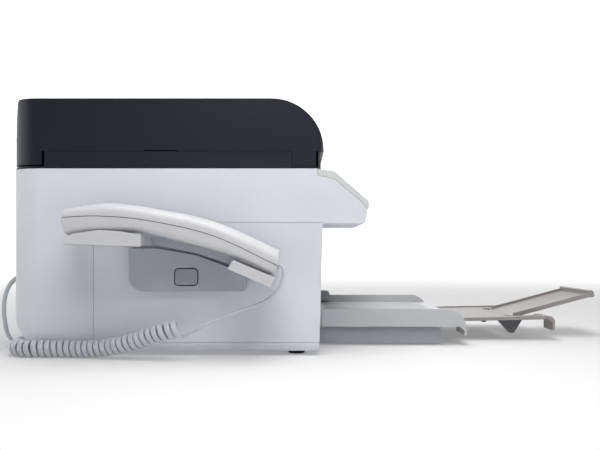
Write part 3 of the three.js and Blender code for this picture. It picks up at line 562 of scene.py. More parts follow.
def paint(obj: bpy.types.Object, finish: Finish, low_mm: tuple, high_mm: tuple) -> None:
    """Gives the faces whose middles lie in a box of (x, u, z) a second finish.

    Args:
        obj: a settled piece.
        finish: what those faces take.
        low_mm: the box's lowest x, u and z.
        high_mm: its highest.
    """
    mesh = obj.data
    if finish.name not in mesh.materials:
        mesh.materials.append(finish.material())
    middle = np.empty(len(mesh.polygons) * 3)
    mesh.polygons.foreach_get("center", middle)
    index = np.empty(len(mesh.polygons), int)
    mesh.polygons.foreach_get("material_index", index)
    ends = place(np.array([low_mm, high_mm]))
    inside = (middle.reshape(-1, 3) > ends.min(0)) & (middle.reshape(-1, 3) < ends.max(0))
    index[inside.all(1)] = mesh.materials.find(finish.name)
    mesh.polygons.foreach_set("material_index", index)


def dress_node(node: str, finish: Finish) -> None:
    """Gives a CAD node that stays in view a better material.

    Args:
        node: the CAD node.
        finish: what it takes.
    """
    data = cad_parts[node].data
    data.materials.clear()
    data.materials.append(finish.material())
    log.info("%s keeps its CAD shape", node)


# ---- the studio -----------------------------------------------------------------------------
@dataclass(frozen=True)
class Lamp:
    """One soft rectangular light aimed at a point of the machine."""

    name: str
    at: tuple[float, float, float]
    aim: tuple[float, float, float]
    size: tuple[float, float]
    watts: float


@dataclass
class Studio:
    """The camera on the handset side, a pale floor and back, and soft light from above."""

    eye: tuple[float, float, float] = (-0.8695, 0.0288, 0.1025)
    lens_mm: float = 43.4
    rise: float = 0.0417
    room: float = 6.0
    runs: tuple[float, ...] = (0.001, 0.5, 2.0)
    curve: float = 1.2
    wall: float = 5.0
    wall_deg: float = 125
    steps: int = 72
    surroundings: float = 0.07
    glow: tuple[float, float] = (0.2, 1.0)
    glow_between: tuple[float, float] = (0.3, 3.0)
    lamps: tuple[Lamp, ...] = (
        Lamp("top_light", (-0.36, 0.02, 0.72), (-0.22, 0.02, 0.1), (0.45, 1.1), 7.2),
        Lamp("side_light", (-1.9, -0.6, 1.1), (-0.1, 0.0, 0.12), (1.5, 1.3), 1.5),
        Lamp("back_light", (1.3, 0.2, 1.5), (0.0, 0.0, 0.1), (1.5, 1.5), 8),
    )

    def build(self) -> None:
        """Makes the camera, the lights, the floor and the wall behind it."""
        camera = bpy.data.cameras.new("camera")
        camera.lens, camera.shift_y, camera.clip_start = self.lens_mm, self.rise, 0.02
        holder = bpy.data.objects.new("camera", camera)
        holder.location = self.eye
        holder.rotation_euler = (math.pi / 2, 0, -math.pi / 2)
        bpy.context.scene.collection.objects.link(holder)
        bpy.context.scene.camera = holder
        bpy.context.scene.view_settings.view_transform = "Standard"
        for lamp in self.lamps:
            self._light(lamp)
        paper = self._paper()
        self._stage("floor", np.array([*self.runs, self.room]), np.zeros(4), 180, paper)
        turn = np.linspace(0, np.pi / 2, 13)
        run = np.concatenate([self.room + self.curve * np.sin(turn), [self.room + self.curve]])
        rise = np.concatenate([self.curve * (1 - np.cos(turn)), [self.wall]])
        self._stage("backdrop", run, rise, self.wall_deg, paper)
        world = bpy.data.worlds.new("soft_surroundings")
        world.use_nodes = True
        background = world.node_tree.nodes["Background"]
        background.inputs["Strength"].default_value = self.surroundings
        background.inputs["Color"].default_value = (1, 1, 1, 1)
        bpy.context.scene.world = world

    def _light(self, lamp: Lamp) -> None:
        """Makes one area light that faces its aim.

        Args:
            lamp: its name, place, aim, size and power.
        """
        data = bpy.data.lights.new(lamp.name, "AREA")
        data.shape = "RECTANGLE"
        data.size, data.size_y, data.energy = *lamp.size, lamp.watts
        made = bpy.data.objects.new(lamp.name, data)
        made.location = lamp.at
        made.rotation_euler = (Vector(lamp.aim) - Vector(lamp.at)).to_track_quat("-Z", "Y").to_euler()
        bpy.context.scene.collection.objects.link(made)

    def _paper(self) -> bpy.types.Material:
        """White paper lit from behind, more so the further it is from the machine.

        Returns:
            The material of the floor and the wall.
        """
        made = bpy.data.materials.new("backdrop_white")
        made.use_nodes = True
        nodes, links = made.node_tree.nodes, made.node_tree.links
        shader = nodes["Principled BSDF"]
        shader.inputs["Base Color"].default_value = (0.6, 0.6, 0.6, 1)
        shader.inputs["Roughness"].default_value = 0.95
        shader.inputs["Specular IOR Level"].default_value = 0.0
        shader.inputs["Emission Color"].default_value = (1, 1, 1, 1)
        place_of = nodes.new("ShaderNodeTexCoord")
        far = nodes.new("ShaderNodeVectorMath")
        far.operation = "LENGTH"
        spread = nodes.new("ShaderNodeMapRange")
        spread.interpolation_type = "SMOOTHSTEP"
        spread.inputs["From Min"].default_value, spread.inputs["From Max"].default_value = self.glow_between
        spread.inputs["To Min"].default_value, spread.inputs["To Max"].default_value = self.glow
        links.new(place_of.outputs["Object"], far.inputs[0])
        links.new(far.outputs["Value"], spread.inputs["Value"])
        links.new(spread.outputs["Result"], shader.inputs["Emission Strength"])
        return made

    def _stage(
        self, name: str, run: np.ndarray, rise: np.ndarray, half_deg: float, paper: bpy.types.Material
    ) -> None:
        """A surface whose profile (run, rise) is turned about the upright axis.

        A point at angle a is (run cos a, run sin a, rise), with a from -half to half.

        Args:
            name: the surface's name.
            run: distances from the axis, in metres.
            rise: heights, in metres.
            half_deg: how far it reaches to each side of straight ahead.
            paper: its material.
        """
        count = self.steps + 1
        angle = np.radians(np.linspace(-half_deg, half_deg, count))
        level = np.outer(rise, np.ones(count))
        grid = np.stack([np.outer(run, np.cos(angle)), np.outer(run, np.sin(angle)), level], -1)
        row, column = np.meshgrid(np.arange(len(run) - 1), np.arange(self.steps), indexing="ij")
        a = (row * count + column).ravel()
        faces = np.stack([a, a + count, a + count + 1, a + 1], axis=-1)
        mesh = bpy.data.meshes.new(name)
        mesh.from_pydata(grid.reshape(-1, 3).tolist(), [], faces.tolist())
        mesh.shade_smooth()
        mesh.materials.append(paper)
        made = bpy.data.objects.new(name, mesh)
        bpy.context.scene.collection.objects.link(made)


# ---- the handset's cord ---------------------------------------------------------------------
LEAD_MM = (
    (-233, 264.4, 88), (-233, 266.2, 87.9), (-233.1, 267.9, 85), (-233.3, 268.2, 79.8),
    (-233.6, 266.9, 73.9), (-233.9, 264.2, 67.8), (-234.2, 259, 61.2), (-234.6, 251.9, 56.1),
    (-235, 242.5, 51.8), (-235.5, 233.1, 48.6), (-236, 220.9, 44.2), (-236.6, 205.8, 38),
    (-237.2, 190.5, 30.6), (-237.8, 179.5, 24.9),
)
COIL_MM = (
    (-238, 172.4, 30.4), (-236, 159, 27.2), (-232, 146, 23.1), (-228, 134, 18.6), (-224, 121, 14.8),
    (-220, 109, 12), (-215.5, 92, 9.6), (-212, 76, 8.6), (-210, 58, 8.4), (-209.4, 42, 8.4),
    (-208.6, 26, 8.4), (-202, 12.5, 8.4), (-188, 6.6, 8.4), (-168, 6.4, 8.4), (-145, 8, 8.4),
    (-120, 8, 8.4), (-100, 8, 8.4),
)
TAIL_MM = (
    (-88, 7.6, 2.6), (-79.5, 4.2, 2.6), (-75, -3.5, 2.6), (-76.5, -12.5, 2.6), (-84, -19.5, 2.6),
    (-95, -23.5, 2.6), (-107, -26.5, 3), (-117, -28.5, 6), (-124, -30, 14), (-128, -31, 26),
    (-129.6, -31.5, 40), (-130, -30, 53), (-130, -26, 64), (-130, -19.5, 71.5), (-130, -13.5, 74.6),
    (-130, -9.3, 75),
)


@dataclass
class HandsetCord:
    """One flat-sided cord: a lead down from the handset, a long coil and a tail to the rear socket.

    Over the coil the centreline is a helix about the coil's route; the ribbon's width lies along
    the route and its thickness across it, as on a wound cord.
    """

    width_mm: float = 5.0
    thickness_mm: float = 2.8
    winding_mm: float = 6.85
    pitch_mm: float = 6.3
    per_turn: int = 18
    around: int = 12
    route_step: float = 0.0005
    end_step: float = 0.0014
    join: float = 0.004
    easing: int = 26
    table: float = 0.0001

    def build(self) -> None:
        """Makes the cord and its two plugs, and ties the plugs to the handset and the base."""
        line, faces_out = self._centreline()
        obj = self._ribbon(line, faces_out)
        obj.data.materials.append(CORD.material())
        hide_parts("handset_cord_lead", "handset_cord_coil", "handset_cord_tail")
        plugs = [self._plug("handset_plug", "handset", 1), self._plug("base_plug", "root", -1)]
        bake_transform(obj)

    def _centreline(self) -> tuple[np.ndarray, np.ndarray]:
        """The line the cord follows, and the direction its broad face looks at each point.

        The coil is route(s) + r (cos a n(s) + sin a b(s)), where n and b are carried along the
        route without twist and a grows by a full turn each pitch.

        Returns:
            Points and unit directions, each (n, 3) in metres.
        """
        route = even(catmull(place(COIL_MM), 24), self.route_step)
        tangent = unit(np.gradient(route, axis=0))
        normal, cross = self._untwisted(tangent, np.array([0.0, 0.0, -1.0]))
        turns = round(len(route) * self.route_step * 1000 / self.pitch_mm)
        angle = np.linspace(0, 2 * np.pi * turns, turns * self.per_turn + 1)
        at = np.linspace(0, len(route) - 1, len(angle))
        across, beside = self._read(normal, at), self._read(cross, at)
        radial = unit(np.cos(angle)[:, None] * across + np.sin(angle)[:, None] * beside)
        coil = self._read(route, at) + self.winding_mm / 1000 * radial
        lead = self._joined(place(LEAD_MM), coil[0], coil[1] - coil[0], False)
        tail = self._joined(place(TAIL_MM), coil[-1], coil[-1] - coil[-2], True)
        lead_out = self._untwisted(unit(np.gradient(lead, axis=0)), np.array([0.0, 0.0, 1.0]))[0]
        lead_out *= np.sign(lead_out[-1] @ radial[0])
        tail_out = self._untwisted(unit(np.gradient(tail, axis=0)), radial[-1])[0]
        line = np.vstack([lead, coil, tail])
        out = np.vstack([lead_out, radial, tail_out])
        out = self._eased(out, len(lead), self.easing)
        along = unit(np.gradient(line, axis=0))
        out = unit(out - (out * along).sum(1, keepdims=True) * along)
        return line, out

    def _read(self, values: np.ndarray, at: np.ndarray) -> np.ndarray:
        """Three-part values read at fractions of a place along them."""
        return np.stack([np.interp(at, np.arange(len(values)), values[:, k]) for k in range(3)], -1)

    def _joined(self, points: np.ndarray, end: np.ndarray, heading: np.ndarray, after: bool) -> np.ndarray:
        """A lead or a tail whose end meets the coil in the coil's own direction.

        Args:
            points: the points it passes through.
            end: the coil's end that it meets.
            heading: the coil's direction there.
            after: whether it follows the coil or comes before it.

        Returns:
            Evenly spaced points, the coil's end left out.
        """
        reach = unit(heading[None])[0] * self.join
        knots = [end + reach, *points] if after else [*points, end - reach]
        curve = catmull(np.vstack([[end], knots] if after else [knots, [end]]), 14)
        spaced = even(curve, self.end_step)
        return spaced[1:] if after else spaced[:-1]

    def _untwisted(self, tangent: np.ndarray, first: np.ndarray) -> tuple[np.ndarray, np.ndarray]:
        """Two directions square to the route, carried along it without twist from a first one.

        Each direction is the one before it less its part along the route, scaled to length one.

        Args:
            tangent: unit directions of the route.
            first: roughly where the first direction looks.

        Returns:
            Both directions at each point.
        """
        normal = np.empty_like(tangent)
        normal[0] = unit((first - tangent[0] * (first @ tangent[0]))[None])[0]
        for i in range(1, len(tangent)):
            carried = normal[i - 1] - tangent[i] * (normal[i - 1] @ tangent[i])
            normal[i] = carried / np.linalg.norm(carried)
        return normal, np.cross(tangent, normal)

    def _eased(self, out: np.ndarray, at: int, reach: int) -> np.ndarray:
        """The directions with the step at one point spread over the points before it.

        Args:
            out: unit directions.
            at: where the step is.
            reach: how many points before it share the change.

        Returns:
            The changed directions.
        """
        t = np.linspace(0, 1, reach)[:, None]
        mixed = out.copy()
        mixed[at - reach : at] = unit((1 - t) * out[at - reach : at] + t * out[at])
        return mixed

    def _ribbon(self, line: np.ndarray, out: np.ndarray) -> bpy.types.Object:
        """A rounded-rectangle section carried along the line, its thickness along out.

        What would reach below the table is pressed flat on it: z = max(z, table).

        Args:
            line: the centreline.
            out: where the broad face looks at each point.

        Returns:
            The cord's object.
        """
        along = unit(np.gradient(line, axis=0))
        across = np.cross(along, out)
        section = superellipse(self.around, self.width_mm / 2000, self.thickness_mm / 2000, 3)
        rings = (
            line[:, None]
            + section[None, :, 0:1] * across[:, None]
            + section[None, :, 1:2] * out[:, None]
        )
        rings[..., 2] = np.maximum(rings[..., 2], self.table)
        points, faces = skin(rings)
        return mesh_object("handset_cord", points, faces, 60)

    def _plug(self, node: str, body: str, facing: int) -> bpy.types.Object:
        """A clear modular plug with a stepped nose, in place of a CAD block.

        Args:
            node: the CAD node.
            body: what it rides on.
            facing: 1 where its nose looks to the rear, -1 where it looks to the front.

        Returns:
            The plug's object.
        """
        middle, half = middle_and_half(node)
        t = np.array([-1, -0.86, 0.35, 0.42, 1.0])
        w = np.array([0.9, 1.0, 1.0, 0.88, 0.86])
        section = superellipse(24, 1, 1, 7)
        rings = np.stack(
            [
                middle[0] + section[None, :, 0] * half[0] * w[:, None],
                np.broadcast_to((middle[1] + facing * t * half[1])[:, None], (len(t), len(section))),
                middle[2] + section[None, :, 1] * half[2] * w[:, None],
            ],
            axis=-1,
        )
        made = mesh_object("visible_" + node, *skin(rings), 40)
        return Piece(made, CLEAR, body, "clear_plug", (node,)).settle()


# ---- the body -------------------------------------------------------------------------------
@dataclass
class Body:
    """The light grey housing with its side cover, rear cover, sockets and feet."""

    edge_mm: float = 0.8
    seam_shade_mm: float = 0.84
    blade: tuple[float, float, float] = (0.0009, 0.0045, 0.0022)
    blade_x: float = 0.0035
    blade_back: float = 0.0075
    side_seam_shade: tuple[float, float, float] = (0.0014, 0.1195, 0.00034)
    front_seam_shade: tuple[float, float, float] = (0.19, 0.0014, 0.00034)
    cheek: tuple[float, float, float] = (0.0023, 0.0021, 0.0074)
    wire: tuple[float, float, float] = (0.0003, 0.004, 0.0004)
    socket_x_mm: tuple[float, float] = (-152.0, -108.0)

    def build(self) -> None:
        """Makes the housing's visible pieces."""
        feet = [f"foot_{end}_{side}" for end in ("rear", "front") for side in ("left", "right")]
        show_nodes(
            ("base_housing", self.edge_mm, SHELL, "root", "shell"),
            ("left_side_cover", 0.3, SHELL, "root", "shell"),
            ("rear_cover", 0.5, SHELL, "rear_cover", "shell"),
            ("jack_panel", 0.3, DARK, "root", "dark_plastic"),
            ("power_inlet", 0.4, DARK, "root", "dark_plastic"),
            *((foot, 0.5, RUBBER, "root", "rubber") for foot in feet),
        )
        self._inlet_pins()
        self._contacts()
        self._painted_seam_shade()
        self._mouth()

    def _inlet_pins(self) -> None:
        """Two flat blades that stand in the power socket."""
        middle, _ = middle_and_half("power_inlet")
        boxes = [(middle + [x, self.blade_back, 0], self.blade) for x in (-self.blade_x, self.blade_x)]
        Piece(mesh_object("inlet_pins", *blocks(boxes)), STEEL, "root", "steel").settle()

    def _painted_seam_shade(self) -> None:
        """Painted shade: black strips at the bottom of the grooves round the control panel and under the lid.

        The panel's strip is the seam's side view line, thickened to both sides and carried across.
        """
        line = np.array(
            [(348.9, 142.0), (342.4, 148.2), (319.0, 169.6), (308.0, 173.6), (303.0, 174.2), (300.9, 176.0)]
        )
        across = unit(np.gradient(line, axis=0))[:, ::-1] * [1, -1] * self.seam_shade_mm / 2
        loop = np.concatenate([line + across, (line - across)[::-1]])
        reach = BODY_WIDTH_MM / 2 - 0.65
        rings = np.stack([np.column_stack([np.full(len(loop), x), loop]) for x in (-reach, reach)])
        Piece(mesh_object("panel_seam_shade", *skin(place(rings)), 30), SHADE_BLACK, "root", "dark_plastic").settle()
        # Bars of painted shade in the gap between the frame and the lid, at both sides and the front.
        bars = [(place(np.array([side * 197.9, 155.5, 197.7])), self.side_seam_shade) for side in (-1, 1)]
        bars.append((place(np.array([0, 301.4, 197.7])), self.front_seam_shade))
        Piece(mesh_object("lid_seam_shade", *blocks(bars), 30), SHADE_BLACK, "scanner", "frame_black").settle()

    def _mouth(self) -> None:
        """Two short cheeks that close the gap between the front wall and the output tray."""
        boxes = [(place(np.array([side * 122.6, 304.4, 28.2])), self.cheek) for side in (-1, 1)]
        Piece(mesh_object("mouth_cheeks", *blocks(boxes), 30), TRAY, "root", "shell").settle()

    def _contacts(self) -> None:
        """Fine gilt-coloured wires in the roof of each of the two line sockets."""
        low, high = corners("jack_panel")
        x = np.add.outer(np.array(self.socket_x_mm), np.linspace(-3, 3, 4)).ravel() / 1000 + MIDDLE_X
        y, z = high[1] - 0.0055, (low[2] + high[2]) / 2 + 0.0033
        boxes = [(np.array([at, y, z]), self.wire) for at in x]
        Piece(mesh_object("socket_contacts", *blocks(boxes)), GILT, "root", "steel").settle()


# ---- the control panel ----------------------------------------------------------------------
class Mark(Enum):
    """What is printed on a key."""

    TEXT = "text"
    SQUARE = "square"
    BAR = "bar"
    LINES = "lines"
    ARROW = "arrow"


@dataclass(frozen=True)
class Key:
    """One key: its place on the slope, its size and its mark."""

    name: str
    x: float
    down: float
    size: tuple[float, float]
    finish: Finish
    slot: str
    mark: Mark
    text: str = ""


@dataclass
class ControlPanel:
    """The sloping panel with its keys, its display and two small lamps.

    A point (x, down, out) of the slope is (x, u0 + down cos s + out sin s, z0 - down sin s + out cos s).
    A key's dish is its wide one from wide_mm across.
    """

    top_mm: tuple[float, float] = (317.0, 178.7)
    slope_deg: float = 41.2
    pitch_mm: tuple[float, float] = (13.0, 8.2)
    key_mm: tuple[float, float] = (10.0, 5.6)
    stand_mm: float = 1.4
    depth_mm: float = 2.8
    cap_edge_mm: float = 0.55
    wide_mm: float = 14.0
    dishes_mm: tuple[float, float] = (0.35, 0.5)
    digit_mm: float = 4.2
    display_mm: tuple[float, float] = (-38.0, 17.0)
    lamp_mm: tuple[float, float, float] = (33.5, 1.5, 0.9)
    keys: list[Key] = field(default_factory=list)

    def __post_init__(self) -> None:
        """Lays the twelve dial keys out in four rows, with the function keys beside them."""
        for i, text in enumerate("123456789*0#"):
            name = {"*": "star", "#": "hash"}.get(text, text)
            x = 62 + (i % 3 - 1) * self.pitch_mm[0]
            down = 6 + (i // 3) * self.pitch_mm[1]
            self.keys.append(Key(name, x, down, self.key_mm, KEY, "key", Mark.TEXT, text))
        self.keys += [
            Key("mode", -160, 11, (22, 8), KEY, "key", Mark.LINES),
            Key("menu", -125, 11, (22, 8), KEY, "key", Mark.ARROW),
            Key("clear", -125, 26, (22, 8), KEY, "key", Mark.BAR),
            Key("stop", 130, 17, (16, 16), KEY_STOP, "key_red", Mark.SQUARE),
            Key("start", 160, 17, (20, 20), KEY_START, "key_green", Mark.BAR),
        ]

    def build(self) -> None:
        """Makes the panel, its keys with their marks, the display and the lamps."""
        show_nodes(("control_panel", 0.7, PANEL, "root", "panel"))
        for key in self.keys:
            self._key(key)
        self._display()
        self._lamps()

    def on_slope(self, points: np.ndarray) -> np.ndarray:
        """Points of the slope as points of the shared frame.

        Args:
            points: an array whose last axis holds x, down and out, in millimetres.

        Returns:
            An array of the same shape in metres.
        """
        slope = math.radians(self.slope_deg)
        x, down, out = np.moveaxis(np.asarray(points, float), -1, 0)
        u = self.top_mm[0] + down * math.cos(slope) + out * math.sin(slope)
        z = self.top_mm[1] - down * math.sin(slope) + out * math.cos(slope)
        return place(np.stack([x, u, z], axis=-1))

    def _key(self, key: Key) -> None:
        """A dished cap with rounded edges, with its mark lying in the dish.

        Args:
            key: what it is called, where it stands and what is on it.
        """
        dish = self.dishes_mm[int(key.size[0] >= self.wide_mm)]
        points, faces = rounded_cap(
            centre=np.array([key.x, key.down, 0.0]),
            across=np.array([1.0, 0, 0]),
            along=np.array([0, -1.0, 0]),
            out=np.array([0, 0, 1.0]),
            half=(key.size[0] / 2, key.size[1] / 2),
            depth=self.depth_mm,
            height=self.stand_mm,
            edge=self.cap_edge_mm,
            dish=dish,
        )
        cap = mesh_object("cap_" + key.name, self.on_slope(points), faces, 50)
        body = "key_" + key.name
        Piece(cap, key.finish, body, key.slot, (body,)).settle()
        level = self.stand_mm - dish + 0.02
        shape = self._digit(key, level) if key.mark is Mark.TEXT else self._symbol(key, level)
        ink = PAD if key.mark is Mark.SQUARE or key.name == "start" else LEGEND
        Piece(shape, ink, body, key.slot).settle()

    def _digit(self, key: Key, level: float) -> bpy.types.Object:
        """The key's character as a thin mesh.

        Args:
            key: the key that it is on.
            level: its height over the slope, in millimetres.

        Returns:
            The character's object.
        """
        curve = bpy.data.curves.new("digit", "FONT")
        curve.body, curve.size, curve.extrude = key.text, self.digit_mm, 0.04
        curve.align_x = curve.align_y = "CENTER"
        curve.resolution_u = 3
        holder = bpy.data.objects.new("digit", curve)
        bpy.context.scene.collection.objects.link(holder)
        mesh = bpy.data.meshes.new_from_object(holder.evaluated_get(bpy.context.evaluated_depsgraph_get()))
        bpy.data.objects.remove(holder)
        bpy.data.curves.remove(curve)
        flat = np.empty(len(mesh.vertices) * 3)
        mesh.vertices.foreach_get("co", flat)
        flat = flat.reshape(-1, 3)
        middle = (flat.min(0) + flat.max(0)) / 2
        x, down = flat[:, 0] - middle[0] + key.x, key.down - flat[:, 1] + middle[1]
        local = np.stack([x, down, flat[:, 2] + level], -1)
        mesh.vertices.foreach_set("co", self.on_slope(local).ravel())
        mesh.name = "digit_" + key.name
        return finished("digit_" + key.name, mesh, 30)

    def _symbol(self, key: Key, level: float) -> bpy.types.Object:
        """A generic sign made of thin bars: a square, a bar, three lines or an arrow.

        Args:
            key: the key that it is on.
            level: its height over the slope, in millimetres.

        Returns:
            The sign's object.
        """
        bars = {
            Mark.SQUARE: [(0, 0, 2.6, 2.6, 0)],
            Mark.BAR: [(0, 0, 0.6, 2.2, 0)] if key.name == "start" else [(0, 0, 2.2, 0.35, 0)],
            Mark.LINES: [(0, -1.2, 2.4, 0.25, 0), (0, 0, 2.4, 0.25, 0), (0, 1.2, 2.4, 0.25, 0)],
            Mark.ARROW: [(-0.9, 0.3, 1.5, 0.28, 40), (0.9, 0.3, 1.5, 0.28, -40)],
        }[key.mark]
        parts = []
        for x, down, w, h, turn in bars:
            c, s = math.cos(math.radians(turn)), math.sin(math.radians(turn))
            square = np.array([[-w, -h], [w, -h], [w, h], [-w, h]])
            flat = square @ np.array([[c, s], [-s, c]]) + [key.x + x, key.down + down]
            rings = np.stack([np.column_stack([flat, np.full(4, level + d)]) for d in (-0.3, 0.06)])
            parts.append(skin(self.on_slope(rings)))
        return mesh_object("sign_" + key.name, *merged(parts), 30)

    def _display(self) -> None:
        """A dark bezel with rounded corners round a sunk grey-green pane."""
        unit_ring = superellipse(48, 1, 1, 9)
        x0, down0 = self.display_mm
        steps = [(33, 10.5, -1.6), (33, 10.5, -0.1), (32.6, 10.1, 0.35), (29.5, 7.6, 0.35), (29.1, 7.2, -0.2)]
        rings = np.array([[[x * w + x0, y * h + down0, out] for x, y in unit_ring] for w, h, out in steps])
        bezel = mesh_object("display_bezel", *skin(self.on_slope(rings)), 30)
        Piece(bezel, BEZEL, "root", "display", ("display_window",)).settle()
        levels = (-0.5, -0.12)
        pane = np.array([[[x * 29 + x0, y * 7.1 + down0, out] for x, y in unit_ring] for out in levels])
        glass = mesh_object("display_pane", *skin(self.on_slope(pane)), 30)
        Piece(glass, DISPLAY, "root", "display").settle()

    def _lamps(self) -> None:
        """Two small domes that show power and a stored message."""
        for name, x, finish in (("power_lamp", 160, KEY_START), ("message_lamp", 130, LAMP_AMBER)):
            turn = np.concatenate([[0], np.linspace(0, np.pi / 2 * 0.97, 6)])
            circle = superellipse(20, 1, 1, 2)
            down, radius, height = self.lamp_mm
            rings = np.array(
                [[[x + radius * np.cos(t) * a, down + radius * np.cos(t) * b, height * np.sin(t)]
                  for a, b in circle] for t in turn]
            )
            rings[0, :, 2] = -0.6
            dome = mesh_object(name, *skin(self.on_slope(rings)), 50)
            Piece(dome, finish, "root", "display").settle()


# ---- the scanner and the lid ----------------------------------------------------------------
@dataclass
class ScannerUnit:
    """The black frame with its glass, its moving carriage and its hinge pins."""

    edge_mm: float = 0.7
    lamp_half: tuple[float, float] = (0.0018, 0.0004)

    def build(self) -> None:
        """Makes the frame and the pieces in it."""
        frame_copy = moulded("scanner_frame", self.edge_mm)
        Piece(frame_copy, FRAME_BLACK, "scanner", "frame_black", ("scanner_frame",)).settle()
        # The frame's faces in the tab notches at both sides take near-black painted shade.
        for side in (-1, 1):
            inner, outer = sorted((side * 196.0, side * 199.9))
            paint(frame_copy, SHADE_BLACK, (inner, 275.0, 182.5), (outer, 301.0, 198.2))
        show_nodes(("platen_glass", 0.3, GLASS, "scanner", "glass"))
        dress_node("scan_carriage", DARK)
        dress_node("scanner_hinge_pin", STEEL)
        dress_node("lid_hinge_pin", STEEL)
        middle, half = middle_and_half("scan_carriage")
        width, thickness = self.lamp_half
        tube_half = [width, half[1] - 0.004, thickness]
        bar = mesh_object("scan_lamp", *blocks([(middle + [0, 0, half[2] + thickness], tube_half)]), 30)
        Piece(bar, PAD, "scan_carriage", "pad_white").settle()


@dataclass
class Lid:
    """The thick lid with its white pad, its feeder and its document tray."""

    edge_mm: float = 1.1
    tyre_in_mm: float = 54
    tyre_mm: tuple[float, float] = (8.0, 7.5)
    grooves: int = 49
    tray_x: tuple[float, float] = (-2.0, 182.0)
    tray_u: tuple[float, float] = (26.0, 246.0)

    def build(self) -> None:
        """Makes the lid, the pad and the feeder's pieces."""
        cover = moulded("document_cover", self.edge_mm, 3)
        Piece(cover, LID, "lid", "lid_black", ("document_cover",)).settle()
        guides = ("document_guide_rear", "document_guide_front")
        show_nodes(
            ("platen_pad", 0.6, PAD, "lid", "pad_white"),
            ("adf_cover", 0.8, LID, "adf_cover", "lid_black"),
            *((guide, 0.4, FRAME_BLACK, guide, "lid_black") for guide in guides),
        )
        self._roller()
        self._tray_ribs()

    def _roller(self) -> None:
        """The feed roller: a steel shaft and a soft tyre with fine grooves round it."""
        low, high = corners("adf_roller")
        middle = (low + high) / 2
        axis = np.array([0.0, 1.0, 0.0])
        length = (high[1] - low[1]) * 1000
        start = np.array([middle[0], low[1], middle[2]])
        shaft = turned([(0, 2.6), (0.4, 3), (length - 0.4, 3), (length, 2.6)], start, axis)
        Piece(mesh_object("adf_shaft", *shaft), STEEL, "adf_roller", "steel").settle()
        reach = length / 2 - self.tyre_in_mm
        at = np.linspace(-reach, reach, self.grooves)
        radius = np.where(np.arange(self.grooves) % 2 == 0, *self.tyre_mm)
        profile = [(length / 2 - reach, 3.2), *zip(at + length / 2, radius), (length / 2 + reach, 3.2)]
        tyre = mesh_object("adf_tyre", *turned(profile, start, axis), 20)
        Piece(tyre, RUBBER, "adf_roller", "rubber", ("adf_roller",)).settle()

    def _tray_ribs(self) -> None:
        """Low ribs that the pages slide along, across the tray's floor towards the feeder."""
        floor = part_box("document_guide_rear")[0][2] - 0.0003
        rear, front = self.tray_u
        bands = ((rear + 8, rear + 32, 4), (116, 156, 5), (front - 32, front - 8, 4))
        u = np.concatenate([np.linspace(*band) for band in bands])
        x = sum(self.tray_x) / 2
        centres = place(np.stack([np.full_like(u, x), u, np.zeros_like(u)], -1))
        half = np.array([(self.tray_x[1] - self.tray_x[0]) / 2000 - 0.004, 0.0006, 0.00035])
        boxes = [(np.array([c[0], c[1], floor + 0.0002]), half) for c in centres]
        Piece(mesh_object("tray_ribs", *blocks(boxes), 30), LID, "lid", "lid_black").settle()


# ---- the print mechanism --------------------------------------------------------------------
@dataclass
class PrintWorks:
    """The rail, the carriage with four ink cartridges and the rubber feed roller."""

    rail_u: float = 190.0
    rail_z: float = 112.0
    wells_mm: tuple[float, ...] = (-23.4, -7.8, 7.8, 23.4)
    tyres_mm: tuple[float, float] = (-70.0, 70.0)
    tyre_mm: tuple[float, float] = (13.0, 12.4)
    grooves: int = 25

    def build(self) -> None:
        """Makes the mechanism's pieces."""
        show_nodes(("print_carriage", 0.5, DARK, "print_carriage", "dark_plastic"))
        dress_node("carriage_rail", STEEL)
        for x, finish in zip(self.wells_mm, CARTRIDGES):
            self._cartridge(x, finish)
        self._roller()

    def _cartridge(self, x: float, finish: Finish) -> None:
        """A cartridge in its well, with a rounded top.

        Args:
            x: its middle across the machine, in millimetres.
            finish: its colour, whose name ends in the ink's.
        """
        u, z = self.rail_u, self.rail_z
        section = superellipse(24, 6.1, 10.6, 8)
        rings = []
        for level, grow in ((-7.6, 0.0), (13.4, 0.0), (14.4, -0.9), (15.0, -2.4)):
            flat = section + np.sign(section) * grow
            rings.append(np.stack([x + flat[:, 0], u + 19 + flat[:, 1], np.full(24, z + level)], -1))
        made = mesh_object(finish.name, *skin(place(rings)), 40)
        Piece(made, finish, "print_carriage", "dark_plastic").settle()

    def _roller(self) -> None:
        """A steel shaft with two ribbed rubber tyres."""
        low, high = corners("feed_roller")
        middle = (low + high) / 2
        start = np.array([low[0], middle[1], middle[2]])
        length = (high[0] - low[0]) * 1000
        axis = np.array([1.0, 0, 0])
        shaft = turned([(0, 3.6), (0.5, 4), (length - 0.5, 4), (length, 3.6)], start, axis)
        Piece(mesh_object("feed_shaft", *shaft), STEEL, "feed_roller", "steel").settle()
        parts = []
        for offset in self.tyres_mm:
            at = length / 2 + offset + np.linspace(-16, 16, self.grooves)
            radius = np.where(np.arange(self.grooves) % 2 == 0, *self.tyre_mm)
            parts.append(turned([(at[0], 4.1), *zip(at, radius), (at[-1], 4.1)], start, axis))
        tyres = mesh_object("feed_tyres", *merged(parts), 20)
        Piece(tyres, RUBBER, "feed_roller", "rubber", ("feed_roller",)).settle()


